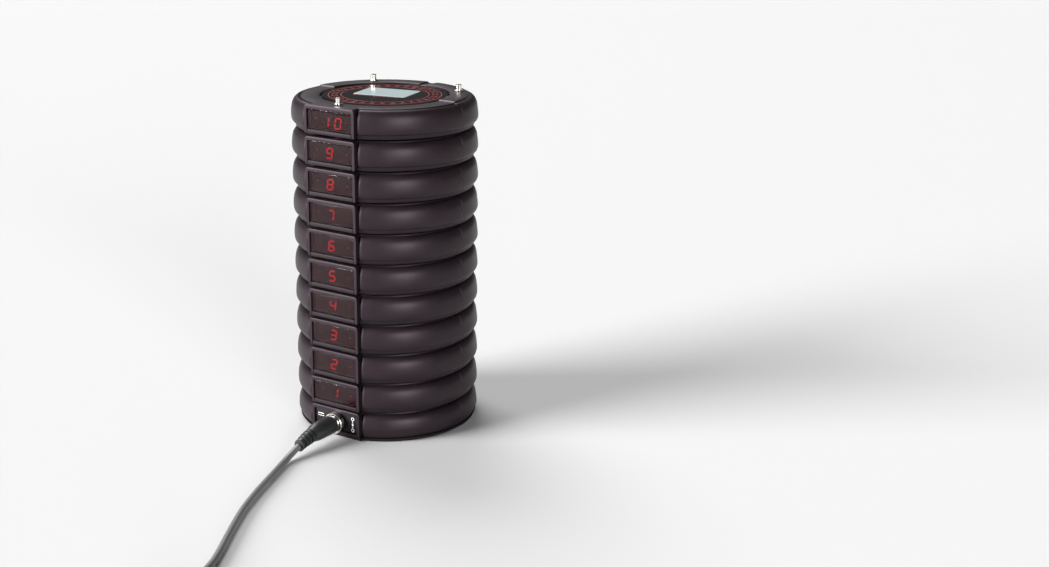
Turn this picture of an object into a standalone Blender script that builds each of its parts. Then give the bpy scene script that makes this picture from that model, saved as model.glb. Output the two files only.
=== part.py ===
"""Ten round coaster pagers stacked on a charging base, with the base's DC lead.

The stack's axis is the Z axis and the base stands on z = 0. Each pager's display window faces -Y.
Lengths in the constants are millimetres, and angles are degrees measured from -Y towards +X.
"""
import math

import bmesh
import bpy
from mathutils import Matrix, Vector

MM = 0.001

# Stack
PAGERS = 10
PITCH = 15.8
FIRST_SEAT = 15.6

# Outline shared by the pagers and the base
RIM_R = 48.0
FACET_Y = 46.2
BLOCK_EDGE = 18.55
BLOCK_GROOVE = 19.2
BUMPER_START = 20.0
SIDE_SEAM = 90.0
BACK_NOTCH = 175.0
DECK_R = 43.0
BADGE_R = 32.3
BADGE_RECESS_R = 33.1
WALL_INNER_R = 45.0
FACET_INNER_Y = 44.2

# Pager heights above its seat plane
UNDERSIDE = 0.3
FRAME_BOTTOM = 0.8
FLOOR_TOP = 1.9
CASE_TOP = 2.6
COVER_BOTTOM = 2.9
TAPER_Z = 5.2
TAPER_R = 47.4
CEILING = 12.3
RECESS_FLOOR = 13.7
DECK = 15.1
RAISED_DECK = 15.8

# Window opening and pane
OPENING_X = 14.0
OPENING_TOP = 13.1
TONGUE_TOP = 2.8
GAP = 0.3
PANE_FRONT_Y = 45.7
PANE_BACK_Y = 44.3

# Contact studs and board
STUD_CIRCLE_R = 38.3
STUD_ANGLES = (0.0, 134.0, -134.0)
STUD_R = 1.5
STUD_FLANGE_R = 2.4
STUD_HEIGHT = 3.6
STUD_BOTTOM = 4.3
STUD_HOLE_R = 1.9
SOCKET_R = 3.7
BOARD_R = 41.0
BOARD_FRONT_Y = 40.2
BOARD_Z = (9.0, 10.2)

# Charging base
BASE_PLATE_TOP = 1.9
BASE_COVER_BOTTOM = 2.2
BASE_FOOT_R = 46.0
BASE_DECK = 14.9
BASE_RAISED_DECK = 15.5
BASE_BLOCK_TOP = 15.4
BASE_RECESS_FLOOR = 13.8
BASE_OPENING = (13.8, 3.4, 13.4)
BASE_BOARD_Z = (2.6, 3.8)
DC_X = 0.6
DC_Z = 8.1

# Lead
LEAD_R = 1.75
COIL_CENTRE = (77.5, -219.5)
COIL_R = 17.5
COIL_HALF_WIDTH = 7.25
COIL_TOP = 7.2
USB_HEADING = 33.5
USB_SIDE = 7.0
USB_AXIS_Z = 11.5
LEAD_POINTS = (
    (0.6, -76.7, 4.9),
    (0.65, -80.4, 3.65),
    (1.2, -84.6, 2.6),
    (2.4, -89.2, 1.98),
    (3.9, -93.8, 1.85),
    (5.5, -98.1, 1.85),
    (9.6, -109.6, 1.85),
    (13.6, -120.8, 1.85),
    (18.1, -132.3, 1.85),
    (22.5, -142.4, 1.85),
    (27.0, -151.3, 1.85),
    (31.9, -160.6, 1.85),
    (37.0, -169.9, 1.85),
    (42.1, -179.2, 1.85),
    (46.8, -188.6, 1.85),
    (50.2, -198.0, 1.85),
    (52.6, -207.2, 1.85),
)

MATERIALS = {
    "body_plastic": ((0.105, 0.078, 0.092, 1.0), 0.0, 0.5),
    "smoked_window": ((0.02, 0.006, 0.008, 1.0), 0.0, 0.08),
    "badge_print": ((0.012, 0.012, 0.014, 1.0), 0.0, 0.35),
    "badge_pane": ((0.40, 0.46, 0.50, 1.0), 0.0, 0.2),
    "display": ((0.55, 0.02, 0.02, 1.0), 0.0, 0.4),
    "circuit_board": ((0.03, 0.14, 0.06, 1.0), 0.0, 0.45),
    "nickel": ((0.66, 0.63, 0.58, 1.0), 1.0, 0.25),
    "battery_wrap": ((0.32, 0.34, 0.36, 1.0), 0.0, 0.4),
    "steel": ((0.56, 0.56, 0.57, 1.0), 1.0, 0.35),
    "black_plastic": ((0.012, 0.012, 0.013, 1.0), 0.0, 0.45),
    "lead_jacket": ((0.035, 0.035, 0.038, 1.0), 0.0, 0.5),
}


def clear_scene():
    """Remove every object of the start-up scene."""
    for item in list(bpy.data.objects):
        bpy.data.objects.remove(item, do_unlink=True)


def make_materials():
    """Create one Principled material for each entry of MATERIALS."""
    made = {}
    for name, (colour, metallic, roughness) in MATERIALS.items():
        material = bpy.data.materials.new(name)
        material.use_nodes = True
        shader = material.node_tree.nodes["Principled BSDF"]
        shader.inputs["Base Color"].default_value = colour
        shader.inputs["Metallic"].default_value = metallic
        shader.inputs["Roughness"].default_value = roughness
        made[name] = material
    return made


def mesh_from(name, vertices, faces):
    """Closed mesh in metres from millimetre vertices, triangulated with outward faces."""
    mesh = bpy.data.meshes.new(name)
    mesh.from_pydata([Vector(v) * MM for v in vertices], [], faces)
    work = bmesh.new()
    work.from_mesh(mesh)
    bmesh.ops.remove_doubles(work, verts=work.verts, dist=1e-7)
    bmesh.ops.triangulate(work, faces=work.faces)
    bmesh.ops.recalc_face_normals(work, faces=work.faces)
    work.to_mesh(mesh)
    work.free()
    return mesh


def revolve(name, angles, section):
    """Solid swept round Z; section(angle) lists (radius, height) points, a loop or from pole to pole."""
    rows = [section(angle) for angle in angles]
    poles = rows[0][0][0] == 0.0
    vertices = []
    rings = []
    for angle, row in zip(angles, rows):
        turn = math.radians(angle)
        points = row[1:-1] if poles else row
        ring = []
        for radius, height in points:
            ring.append(len(vertices))
            vertices.append((radius * math.sin(turn), -radius * math.cos(turn), height))
        rings.append(ring)
    faces = []
    count = len(rings[0])
    for index, ring in enumerate(rings):
        following = rings[(index + 1) % len(rings)]
        for k in range(count if not poles else count - 1):
            m = (k + 1) % count
            faces.append((ring[k], following[k], following[m], ring[m]))
    if poles:
        first = len(vertices)
        vertices.append((0.0, 0.0, rows[0][0][1]))
        vertices.append((0.0, 0.0, rows[0][-1][1]))
        for index, ring in enumerate(rings):
            following = rings[(index + 1) % len(rings)]
            faces.append((first, following[0], ring[0]))
            faces.append((first + 1, ring[-1], following[-1]))
    return mesh_from(name, vertices, faces)


def even_angles(sides):
    """Angles of a regular division of the circle."""
    return [360.0 * k / sides for k in range(sides)]


def lathe(name, section, sides, matrix=None):
    """Solid of revolution of one section, optionally moved by a matrix in millimetres."""
    mesh = revolve(name, even_angles(sides), lambda angle: section)
    if matrix is not None:
        scaled = Matrix.Translation(matrix.to_translation() * MM) @ matrix.to_3x3().to_4x4()
        mesh.transform(scaled)
    return mesh


def cylinder(name, radius, low, high, sides, matrix=None):
    """Plain cylinder along its own Z."""
    return lathe(name, [(0.0, low), (radius, low), (radius, high), (0.0, high)], sides, matrix)


def box(name, low, high):
    """Axis-aligned box between two corners."""
    vertices = [(x, y, z) for x in (low[0], high[0]) for y in (low[1], high[1]) for z in (low[2], high[2])]
    faces = [(0, 1, 3, 2), (4, 6, 7, 5), (0, 4, 5, 1), (2, 3, 7, 6), (0, 2, 6, 4), (1, 5, 7, 3)]
    return mesh_from(name, vertices, faces)


def combine(mesh, tools, operation):
    """Mesh after an exact boolean with each tool mesh in turn."""
    target = bpy.data.objects.new("work", mesh)
    bpy.context.scene.collection.objects.link(target)
    helpers = []
    for tool in tools:
        helper = bpy.data.objects.new("tool", tool)
        bpy.context.scene.collection.objects.link(helper)
        modifier = target.modifiers.new("boolean", "BOOLEAN")
        modifier.operation = operation
        modifier.solver = "EXACT"
        modifier.object = helper
        helpers.append(helper)
    graph = bpy.context.evaluated_depsgraph_get()
    result = bpy.data.meshes.new_from_object(target.evaluated_get(graph))
    for helper in helpers:
        bpy.data.objects.remove(helper, do_unlink=True)
    bpy.data.objects.remove(target, do_unlink=True)
    result.name = mesh.name
    return result


def at_angle(radius, angle):
    """Translation to a point on a circle round the stack's axis."""
    turn = math.radians(angle)
    return Matrix.Translation((radius * math.sin(turn), -radius * math.cos(turn), 0.0))


def facet(angle, depth):
    """Radius at an angle of the flat plane that lies this far in front of the axis."""
    return depth / math.cos(math.radians(angle))


def outline_angles(step_front, step_rear):
    """Angles at which the rounded outline is sampled, with the block, seams and notch included."""
    half = [BLOCK_EDGE, BLOCK_GROOVE, BUMPER_START]
    span = SIDE_SEAM - BUMPER_START
    half += [BUMPER_START + span * k / step_front for k in range(1, step_front + 1)]
    half.append(SIDE_SEAM + 1.2)
    span = BACK_NOTCH - SIDE_SEAM - 1.2
    half += [SIDE_SEAM + 1.2 + span * k / step_rear for k in range(1, step_rear + 1)]
    half.append(BACK_NOTCH + 1.2)
    return [0.0] + half + [180.0] + [-angle for angle in reversed(half)]


def sector(angle):
    """Name of the outline's sector at an angle."""
    size = abs(angle)
    if size <= BLOCK_EDGE:
        return "block"
    if size <= BLOCK_GROOVE or size > BACK_NOTCH:
        return "groove"
    return "bumper" if size <= SIDE_SEAM else "rear"


def cover_section(angle):
    """Section of a pager's cover, from the badge recess over the rim to the ceiling inside."""
    where = sector(angle)
    low = COVER_BOTTOM
    deck = DECK
    inner = WALL_INNER_R
    if where == "block":
        face = facet(angle, FACET_Y)
        low = FRAME_BOTTOM
        inner = min(WALL_INNER_R, facet(angle, FACET_INNER_Y))
        rim = [
            (facet(angle, FACET_Y - 0.4), DECK),
            (face, DECK - 0.4),
            (face, 12.6),
            (face, 9.5),
            (face, TAPER_Z),
            (face, low),
        ]
    elif where == "groove":
        rim = [(43.7, 14.6), (45.2, 13.8), (46.2, 12.6), (46.8, 9.5), (46.8, TAPER_Z), (46.8, low)]
    elif where == "bumper":
        rim = [(43.7, DECK - 0.1), (45.9, 14.3), (47.4, 12.6), (RIM_R, 9.5), (RIM_R, TAPER_Z), (TAPER_R, low)]
    else:
        deck = RAISED_DECK
        rim = [(43.6, 15.4), (45.9, 14.2), (47.2, 11.8), (RIM_R, 8.0), (RIM_R, TAPER_Z), (TAPER_R, low)]
    top = [(0.0, RECESS_FLOOR), (BADGE_RECESS_R, RECESS_FLOOR), (BADGE_RECESS_R, deck), (DECK_R, deck)]
    return top + rim + [(inner, low), (inner, CEILING), (0.0, CEILING)]


def case_section(angle):
    """Section of a pager's bottom case: a shallow tray that stops behind the display window."""
    if abs(angle) <= BLOCK_GROOVE:
        outer = min(facet(angle, FACET_INNER_Y - 1.3) - 0.05, WALL_INNER_R - 0.3)
        inner = facet(angle, FACET_INNER_Y - 2.8)
        edge = [(outer, UNDERSIDE), (outer, 1.7), (outer, CASE_TOP), (inner, CASE_TOP), (inner, FLOOR_TOP)]
    else:
        edge = [(45.4, UNDERSIDE), (45.9, 1.2), (46.2, CASE_TOP), (43.2, CASE_TOP), (43.2, FLOOR_TOP)]
    return [(0.0, UNDERSIDE)] + edge + [(0.0, FLOOR_TOP)]


def make_cover():
    """Pager cover with its display opening and the holes for the three contact studs."""
    mesh = revolve("pager_cover", outline_angles(4, 5), cover_section)
    cutters = [box("opening", (-OPENING_X, -FACET_Y - 1.0, -0.5), (OPENING_X, -41.8, OPENING_TOP))]
    for angle in STUD_ANGLES:
        cutters.append(cylinder("hole", STUD_HOLE_R, 11.0, 17.0, 6, at_angle(STUD_CIRCLE_R, angle)))
    return combine(mesh, cutters, "DIFFERENCE")


def make_case(switch_slot):
    """Bottom case with the window's lower bar, the contact holes and, where asked, the switch slot."""
    mesh = revolve("pager_case", outline_angles(3, 4), case_section)
    bar = box("bar", (-OPENING_X + GAP, -FACET_Y, FRAME_BOTTOM), (OPENING_X - GAP, -41.9, TONGUE_TOP))
    mesh = combine(mesh, [bar], "UNION")
    cutters = []
    for angle in STUD_ANGLES:
        cutters.append(cylinder("hole", SOCKET_R, -1.0, 2.9, 8, at_angle(STUD_CIRCLE_R, angle)))
    if switch_slot:
        cutters.append(box("slot", (-15.9, 21.7, -1.0), (-8.1, 26.3, 2.5)))
    return combine(mesh, cutters, "DIFFERENCE")


def make_board(board_z, stud_bottom, decks):
    """Contact board with its three studs soldered in; decks lists the deck height at each stud."""
    sides = 16

    def section(angle):
        depth = BOARD_R
        if math.cos(math.radians(angle)) > 0.0:
            depth = min(BOARD_R, facet(angle, BOARD_FRONT_Y))
        return [(0.0, board_z[0]), (depth, board_z[0]), (depth, board_z[1]), (0.0, board_z[1])]

    mesh = revolve("pager_board", even_angles(sides), section)
    studs = []
    for angle, deck in zip(STUD_ANGLES, decks):
        stud = [
            (0.0, stud_bottom),
            (STUD_R, stud_bottom),
            (STUD_R, deck + GAP),
            (STUD_FLANGE_R, deck + GAP),
            (STUD_FLANGE_R, deck + GAP + 0.4),
            (STUD_R, deck + GAP + 0.4),
            (STUD_R, deck + STUD_HEIGHT),
            (0.0, deck + STUD_HEIGHT),
        ]
        studs.append(lathe("stud", stud, 6, at_angle(STUD_CIRCLE_R, angle)))
    return combine(mesh, studs, "UNION")


def make_window():
    """Smoked display pane behind the frame."""
    edge = OPENING_X - GAP
    return box("pane", (-edge, -PANE_FRONT_Y, TONGUE_TOP + GAP), (edge, -PANE_BACK_Y, OPENING_TOP - GAP))


def make_badge():
    """Badge disc with the pocket for its pane."""
    disc = cylinder("badge", BADGE_R, RECESS_FLOOR + GAP, DECK - 0.1, 32)
    pocket = box("pocket", (-14.75, -10.75, DECK - 0.6), (14.75, 10.75, DECK + 1.0))
    turn = Matrix.Translation(Vector((-2.6, 5.2, 0.0)) * MM) @ Matrix.Rotation(math.radians(12.0), 4, "Z")
    pocket.transform(turn)
    return combine(disc, [pocket], "DIFFERENCE")


def make_badge_pane():
    """Pane set in the badge's pocket."""
    pane = box("badge_pane", (-14.45, -10.45, DECK - 0.3), (14.45, 10.45, DECK))
    pane.transform(Matrix.Translation(Vector((-2.6, 5.2, 0.0)) * MM) @ Matrix.Rotation(math.radians(12.0), 4, "Z"))
    return pane


def make_motor():
    """Vibration motor can with its shaft, lying along X."""
    section = [(0.0, -24.0), (3.0, -24.0), (3.0, -12.0), (0.5, -12.0), (0.5, -6.4), (0.0, -6.4)]
    return lathe("motor", section, 16, Matrix.Translation((0.0, -20.0, 5.6)) @ Matrix.Rotation(math.pi / 2, 4, "Y"))


def make_motor_weight():
    """Eccentric half-round weight with a bore for the shaft, hanging below the joint axis."""
    hub = lathe("weight", [(0.55, -2.0), (1.4, -2.0), (1.4, 2.0), (0.55, 2.0)], 16)
    sector_ring = lathe("half", [(1.0, -2.0), (2.9, -2.0), (2.9, 2.0), (1.0, 2.0)], 20)
    keep = box("keep", (0.0, -4.0, -3.0), (4.0, 4.0, 3.0))
    half = combine(sector_ring, [keep], "INTERSECT")
    mesh = combine(hub, [half], "UNION")
    mesh.transform(Matrix.Rotation(math.pi / 2, 4, "Y"))
    return mesh


def make_switch():
    """Slide switch: its knob in the slot and the wider slider above the case floor."""
    knob = box("knob", (-15.5, 22.0, 0.6), (-11.5, 26.0, 2.6))
    slider = box("slider", (-18.0, 21.2, 2.3), (-9.0, 26.8, 3.4))
    return combine(knob, [slider], "UNION")


def base_cover_section(angle):
    """Section of the base's cover."""
    where = sector(angle)
    low = BASE_COVER_BOTTOM
    deck = BASE_DECK
    inner = WALL_INNER_R
    if where == "block":
        face = facet(angle, FACET_Y)
        inner = min(WALL_INNER_R, facet(angle, FACET_INNER_Y))
        rim = [
            (facet(angle, FACET_Y - 0.4), BASE_BLOCK_TOP),
            (face, BASE_BLOCK_TOP - 0.4),
            (face, 12.4),
            (face, 9.0),
            (face, low),
        ]
    elif where == "groove":
        rim = [(43.7, 14.4), (45.2, 13.6), (46.2, 12.4), (46.8, 9.0), (46.4, low)]
    elif where == "bumper":
        rim = [(43.7, BASE_DECK - 0.1), (45.9, 14.1), (47.4, 12.4), (RIM_R, 9.0), (47.2, low)]
    else:
        deck = BASE_RAISED_DECK
        rim = [(43.6, 15.1), (45.9, 14.0), (47.2, 11.8), (RIM_R, 8.0), (47.2, low)]
    top = [
        (0.0, BASE_RECESS_FLOOR),
        (BADGE_RECESS_R, BASE_RECESS_FLOOR),
        (BADGE_RECESS_R, deck),
        (DECK_R, deck),
    ]
    return top + rim + [(inner, low), (inner, CEILING), (0.0, CEILING)]


def make_base_cover():
    """Base cover with the opening for its socket panel and the stud holes."""
    mesh = revolve("base_cover", outline_angles(4, 5), base_cover_section)
    half, low, high = BASE_OPENING
    cutters = [box("opening", (-half, -FACET_Y - 1.0, low), (half, -43.0, high))]
    for angle in STUD_ANGLES:
        cutters.append(cylinder("hole", STUD_HOLE_R, 11.0, 17.0, 6, at_angle(STUD_CIRCLE_R, angle)))
    return combine(mesh, cutters, "DIFFERENCE")


def make_base_plate():
    """Flat foot that closes the base."""

    def section(angle):
        foot = BASE_FOOT_R
        top = BASE_FOOT_R + 1.2
        if abs(angle) <= BLOCK_GROOVE:
            foot = facet(angle, FACET_Y - 1.4)
            top = facet(angle, FACET_Y - 0.4)
        return [(0.0, 0.0), (foot, 0.0), (top, BASE_PLATE_TOP), (0.0, BASE_PLATE_TOP)]

    return revolve("base_plate", outline_angles(3, 4), section)


def along_y(x, z):
    """Matrix that lays a lathe section along -Y, so its height is the distance in front of the axis."""
    return Matrix.Translation((x, 0.0, z)) @ Matrix.Rotation(math.pi / 2, 4, "X")


def make_base_panel():
    """Panel in the base's front frame, with the hole for the DC socket."""
    half, low, high = BASE_OPENING
    panel = box("panel", (-half + GAP, -45.2, low + GAP), (half - GAP, -43.6, high - GAP))
    hole = cylinder("hole", 4.3, 42.0, 46.0, 16, along_y(DC_X, DC_Z))
    return combine(panel, [hole], "DIFFERENCE")


def make_dc_socket():
    """Threaded DC socket with its bore and centre pin."""
    section = [
        (0.0, 40.4),
        (4.0, 40.4),
        (4.0, 49.4),
        (3.1, 49.4),
        (3.1, 41.2),
        (1.0, 41.2),
        (1.0, 47.5),
        (0.0, 47.5),
    ]
    return lathe("dc_socket", section, 20, along_y(DC_X, DC_Z))


def make_dc_nut():
    """Ring nut that holds the socket to the panel."""
    section = [(4.3, 46.5), (5.6, 46.5), (5.6, 49.2), (4.3, 49.2)]
    return lathe("dc_nut", section, 20, along_y(DC_X, DC_Z))


def plug_drop(distance):
    """Height of the plug's centre line at a distance in front of the stack's axis."""
    past = max(0.0, distance - 60.0)
    return DC_Z - 0.0115 * past ** 2


def make_plug_body():
    """Moulded plug and strain relief, drooping towards the lead."""
    section = [
        (0.0, 50.0),
        (4.5, 50.0),
        (4.8, 50.6),
        (4.8, 60.5),
        (4.4, 64.5),
        (3.9, 67.0),
        (3.7, 70.0),
        (3.4, 73.0),
        (3.0, 76.0),
        (0.0, 76.0),
    ]
    mesh = lathe("plug", section, 16, along_y(DC_X, 0.0))
    for vertex in mesh.vertices:
        vertex.co.z += plug_drop(-vertex.co.y / MM) * MM
    return mesh


def make_plug_barrel():
    """Nickel barrel of the plug, seated in the socket."""
    section = [(1.3, 42.0), (2.75, 42.0), (2.75, 49.7), (1.3, 49.7)]
    return lathe("plug_barrel", section, 16, along_y(DC_X, DC_Z))


def make_lead():
    """Lead from the plug to the coil, as a tube on a smooth curve."""
    curve = bpy.data.curves.new("lead", "CURVE")
    curve.dimensions = "3D"
    points = smooth_path([Vector(point) for point in LEAD_POINTS], 2.6 * LEAD_R * 2.0)
    spline = curve.splines.new("POLY")
    spline.points.add(len(points) - 1)
    for target, point in zip(spline.points, points):
        target.co = (point.x * MM, point.y * MM, point.z * MM, 1.0)
    curve.bevel_depth = LEAD_R * MM
    curve.bevel_resolution = 2
    curve.use_fill_caps = True
    return curve


def smooth_path(points, spacing):
    """Points at an even spacing on the Catmull-Rom curve through the given points."""
    padded = [points[0] * 2.0 - points[1]] + points + [points[-1] * 2.0 - points[-2]]
    dense = []
    for k in range(1, len(padded) - 2):
        a, b, c, d = padded[k - 1 : k + 3]
        for step in range(20):
            t = step / 20.0
            cubic = (b * 3.0 - c * 3.0 + d - a) * t ** 3
            square = (a * 2.0 - b * 5.0 + c * 4.0 - d) * t ** 2
            dense.append((b * 2.0 + (c - a) * t + square + cubic) * 0.5)
    dense.append(points[-1])
    lengths = [0.0]
    for before, after in zip(dense, dense[1:]):
        lengths.append(lengths[-1] + (after - before).length)
    count = max(2, round(lengths[-1] / spacing))
    even = []
    index = 0
    for k in range(count + 1):
        wanted = lengths[-1] * k / count
        while index < len(lengths) - 2 and lengths[index + 1] < wanted:
            index += 1
        part = (wanted - lengths[index]) / (lengths[index + 1] - lengths[index])
        even.append(dense[index].lerp(dense[index + 1], part))
    return even


def make_coil():
    """Spare lead, coiled in a flat ring that lies on the floor."""
    edge = COIL_HALF_WIDTH
    half = [(edge - 1.7, 0.1), (edge, 1.8), (edge, 3.1), (edge - 1.7, 5.9), (edge - 3.4, COIL_TOP)]
    section = [(COIL_R + across, z) for across, z in half]
    section += [(COIL_R - across, z) for across, z in reversed(half)]
    return lathe("coil", section, 28, Matrix.Translation((COIL_CENTRE[0], COIL_CENTRE[1], 0.0)))


def usb_matrix():
    """Frame of the USB plug, which lies across the coil: its X is the plug's axis, towards the shell."""
    heading = math.radians(USB_HEADING)
    side = Vector((math.sin(heading), -math.cos(heading), 0.0)) * USB_SIDE
    ahead = Vector((math.cos(heading), math.sin(heading), 0.0)) * 2.0
    origin = Vector((COIL_CENTRE[0], COIL_CENTRE[1], USB_AXIS_Z)) + side + ahead
    return Matrix.Translation(origin * MM) @ Matrix.Rotation(heading, 4, "Z")


def make_usb_body():
    """Moulded grip of the USB plug with its strain relief."""
    grip = box("usb_body", (7.0, -8.0, -4.0), (27.0, 8.0, 4.0))
    lay = Matrix.Rotation(math.pi / 2, 4, "Y")
    relief = lathe("relief", [(0.0, 0.0), (2.2, 0.0), (3.0, 8.0), (0.0, 8.0)], 12, lay)
    mesh = combine(grip, [relief], "UNION")
    mesh.transform(usb_matrix())
    return mesh


def make_usb_shell():
    """Steel shell of the USB plug, open at its end."""
    outer = box("usb_shell", (27.3, -6.0, -2.25), (39.3, 6.0, 2.25))
    inner = box("mouth", (29.0, -5.6, -1.85), (41.0, 5.6, 1.85))
    mesh = combine(outer, [inner], "DIFFERENCE")
    mesh.transform(usb_matrix())
    return mesh


def place(name, data, material, location=(0.0, 0.0, 0.0)):
    """Link one named object with its material at a location in millimetres."""
    data.name = name
    data.materials.clear()
    data.materials.append(material)
    item = bpy.data.objects.new(name, data)
    item.location = Vector(location) * MM
    bpy.context.scene.collection.objects.link(item)
    return item


def build_pagers(materials):
    """Place the ten pagers and the inner pieces of the top one."""
    cover = make_cover()
    case = make_case(False)
    window = make_window()
    board = make_board(BOARD_Z, STUD_BOTTOM, (DECK, RAISED_DECK, RAISED_DECK))
    for number in range(1, PAGERS + 1):
        label = f"pager_{number:02d}"
        seat = (0.0, 0.0, FIRST_SEAT + PITCH * (number - 1))
        own_case = make_case(True) if number == PAGERS else case.copy()
        place(f"{label}_cover", cover.copy(), materials["body_plastic"], seat)
        place(f"{label}_case", own_case, materials["body_plastic"], seat)
        place(f"{label}_window", window.copy(), materials["smoked_window"], seat)
        place(f"{label}_board", board.copy(), materials["circuit_board"], seat)
    for spare in (cover, case, window, board):
        bpy.data.meshes.remove(spare)
    top = FIRST_SEAT + PITCH * (PAGERS - 1)
    seat = (0.0, 0.0, top)
    label = f"pager_{PAGERS:02d}"
    place(f"{label}_badge", make_badge(), materials["badge_print"], seat)
    place(f"{label}_badge_pane", make_badge_pane(), materials["badge_pane"], seat)
    display = box("display", (-12.0, -43.8, 3.4), (12.0, -42.2, 12.1))
    place(f"{label}_display", display, materials["display"], seat)
    battery = box("battery", (-17.0, -6.0, 2.3), (17.0, 18.0, 7.3))
    place(f"{label}_battery", battery, materials["battery_wrap"], seat)
    place(f"{label}_motor", make_motor(), materials["steel"], seat)
    axis_point = (-9.0, -20.0, top + 5.6)
    place(f"{label}_motor_weight", make_motor_weight(), materials["steel"], axis_point)
    buzzer = cylinder("buzzer", 6.0, 4.0, 8.7, 20, Matrix.Translation((16.0, -20.0, 0.0)))
    place(f"{label}_buzzer", buzzer, materials["black_plastic"], seat)
    place(f"{label}_power_switch", make_switch(), materials["black_plastic"], seat)


def build_base(materials):
    """Place the charging base and its socket."""
    place("base_cover", make_base_cover(), materials["body_plastic"])
    place("base_plate", make_base_plate(), materials["black_plastic"])
    place("base_panel", make_base_panel(), materials["body_plastic"])
    decks = (BASE_DECK, BASE_RAISED_DECK, BASE_RAISED_DECK)
    place("base_board", make_board(BASE_BOARD_Z, BASE_BOARD_Z[0], decks), materials["circuit_board"])
    place("dc_socket", make_dc_socket(), materials["nickel"])
    place("dc_socket_nut", make_dc_nut(), materials["nickel"])


def build_lead(materials):
    """Place the plug, the lead and the USB plug at its far end."""
    place("plug_body", make_plug_body(), materials["black_plastic"])
    place("plug_barrel", make_plug_barrel(), materials["nickel"])
    place("lead_run", make_lead(), materials["lead_jacket"])
    place("lead_coil", make_coil(), materials["lead_jacket"])
    place("usb_body", make_usb_body(), materials["black_plastic"])
    place("usb_shell", make_usb_shell(), materials["nickel"])


def main():
    clear_scene()
    materials = make_materials()
    build_base(materials)
    build_pagers(materials)
    build_lead(materials)


main()
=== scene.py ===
"""Finished looks for a stack of ten round coaster pagers on its charging base with a DC lead.

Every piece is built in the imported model's own frame: metres, Z up along the stack's axis, and the display
windows facing -Y. Lengths in the constants and dataclasses are millimetres unless they say otherwise.
Angles round the stack are degrees measured from -Y towards +X.
"""
from __future__ import annotations

import logging
import math
from dataclasses import dataclass, field
from enum import Enum
from typing import Any, Callable, ClassVar, Sequence

import bmesh
import bpy
from mathutils import Matrix, Vector

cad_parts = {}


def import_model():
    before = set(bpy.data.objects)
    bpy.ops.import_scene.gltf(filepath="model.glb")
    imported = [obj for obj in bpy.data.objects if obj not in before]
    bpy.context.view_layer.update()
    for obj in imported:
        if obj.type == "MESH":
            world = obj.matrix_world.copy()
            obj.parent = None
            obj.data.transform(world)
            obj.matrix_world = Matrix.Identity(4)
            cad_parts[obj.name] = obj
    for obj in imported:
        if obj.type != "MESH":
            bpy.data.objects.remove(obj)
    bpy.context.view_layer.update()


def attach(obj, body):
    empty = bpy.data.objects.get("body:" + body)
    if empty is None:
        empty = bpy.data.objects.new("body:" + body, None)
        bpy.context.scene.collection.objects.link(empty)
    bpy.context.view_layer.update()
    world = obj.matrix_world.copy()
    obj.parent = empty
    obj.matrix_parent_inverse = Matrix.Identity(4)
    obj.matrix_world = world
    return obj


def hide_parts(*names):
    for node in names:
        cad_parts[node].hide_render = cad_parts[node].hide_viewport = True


LOG = logging.getLogger("pager_stack")

MM = 0.001

# Centre of the DC socket in the base's front panel, across and above the floor.
SOCKET_X = 0.6
SOCKET_Z = 8.1

# The three contact studs: their circle and their angles.
STUD_CIRCLE = 38.3
STUD_ANGLES = (0.0, 134.0, -134.0)

Point2 = tuple[float, float]
Section = list[Point2]
Values = dict[Any, Any]


# --- Materials ---


def linear(hex_colour: str) -> tuple[float, float, float, float]:
    """Turn an sRGB hex colour into a linear RGBA tuple.

    Args:
        hex_colour: Six hex digits with a leading #.

    Returns:
        Linear red, green and blue with an alpha of one.
    """
    channels = [int(hex_colour[k : k + 2], 16) / 255.0 for k in (1, 3, 5)]
    values = [c / 12.92 if c <= 0.04045 else ((c + 0.055) / 1.055) ** 2.4 for c in channels]
    return (values[0], values[1], values[2], 1.0)


def add_node(tree: Any, kind: str, settings: Values | None = None, links: Values | None = None) -> Any:
    """Add a node, set its values and link its inputs.

    Args:
        tree: Shader or geometry node tree.
        kind: The node's type name.
        settings: Values by input name or index, or by the node's own property name.
        links: Output sockets by input name or index.

    Returns:
        The new node.
    """
    made = tree.nodes.new(kind)
    for key, value in (settings or {}).items():
        if isinstance(key, str) and hasattr(made, key):
            setattr(made, key, value)
        else:
            made.inputs[key].default_value = value
    for key, socket in (links or {}).items():
        tree.links.new(socket, made.inputs[key])
    return made


def feed(tree: Any, kind: str, settings: Values | None = None, links: Values | None = None) -> Any:
    """First output socket of a new node; the arguments are those of add_node."""
    return add_node(tree, kind, settings, links).outputs[0]


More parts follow.
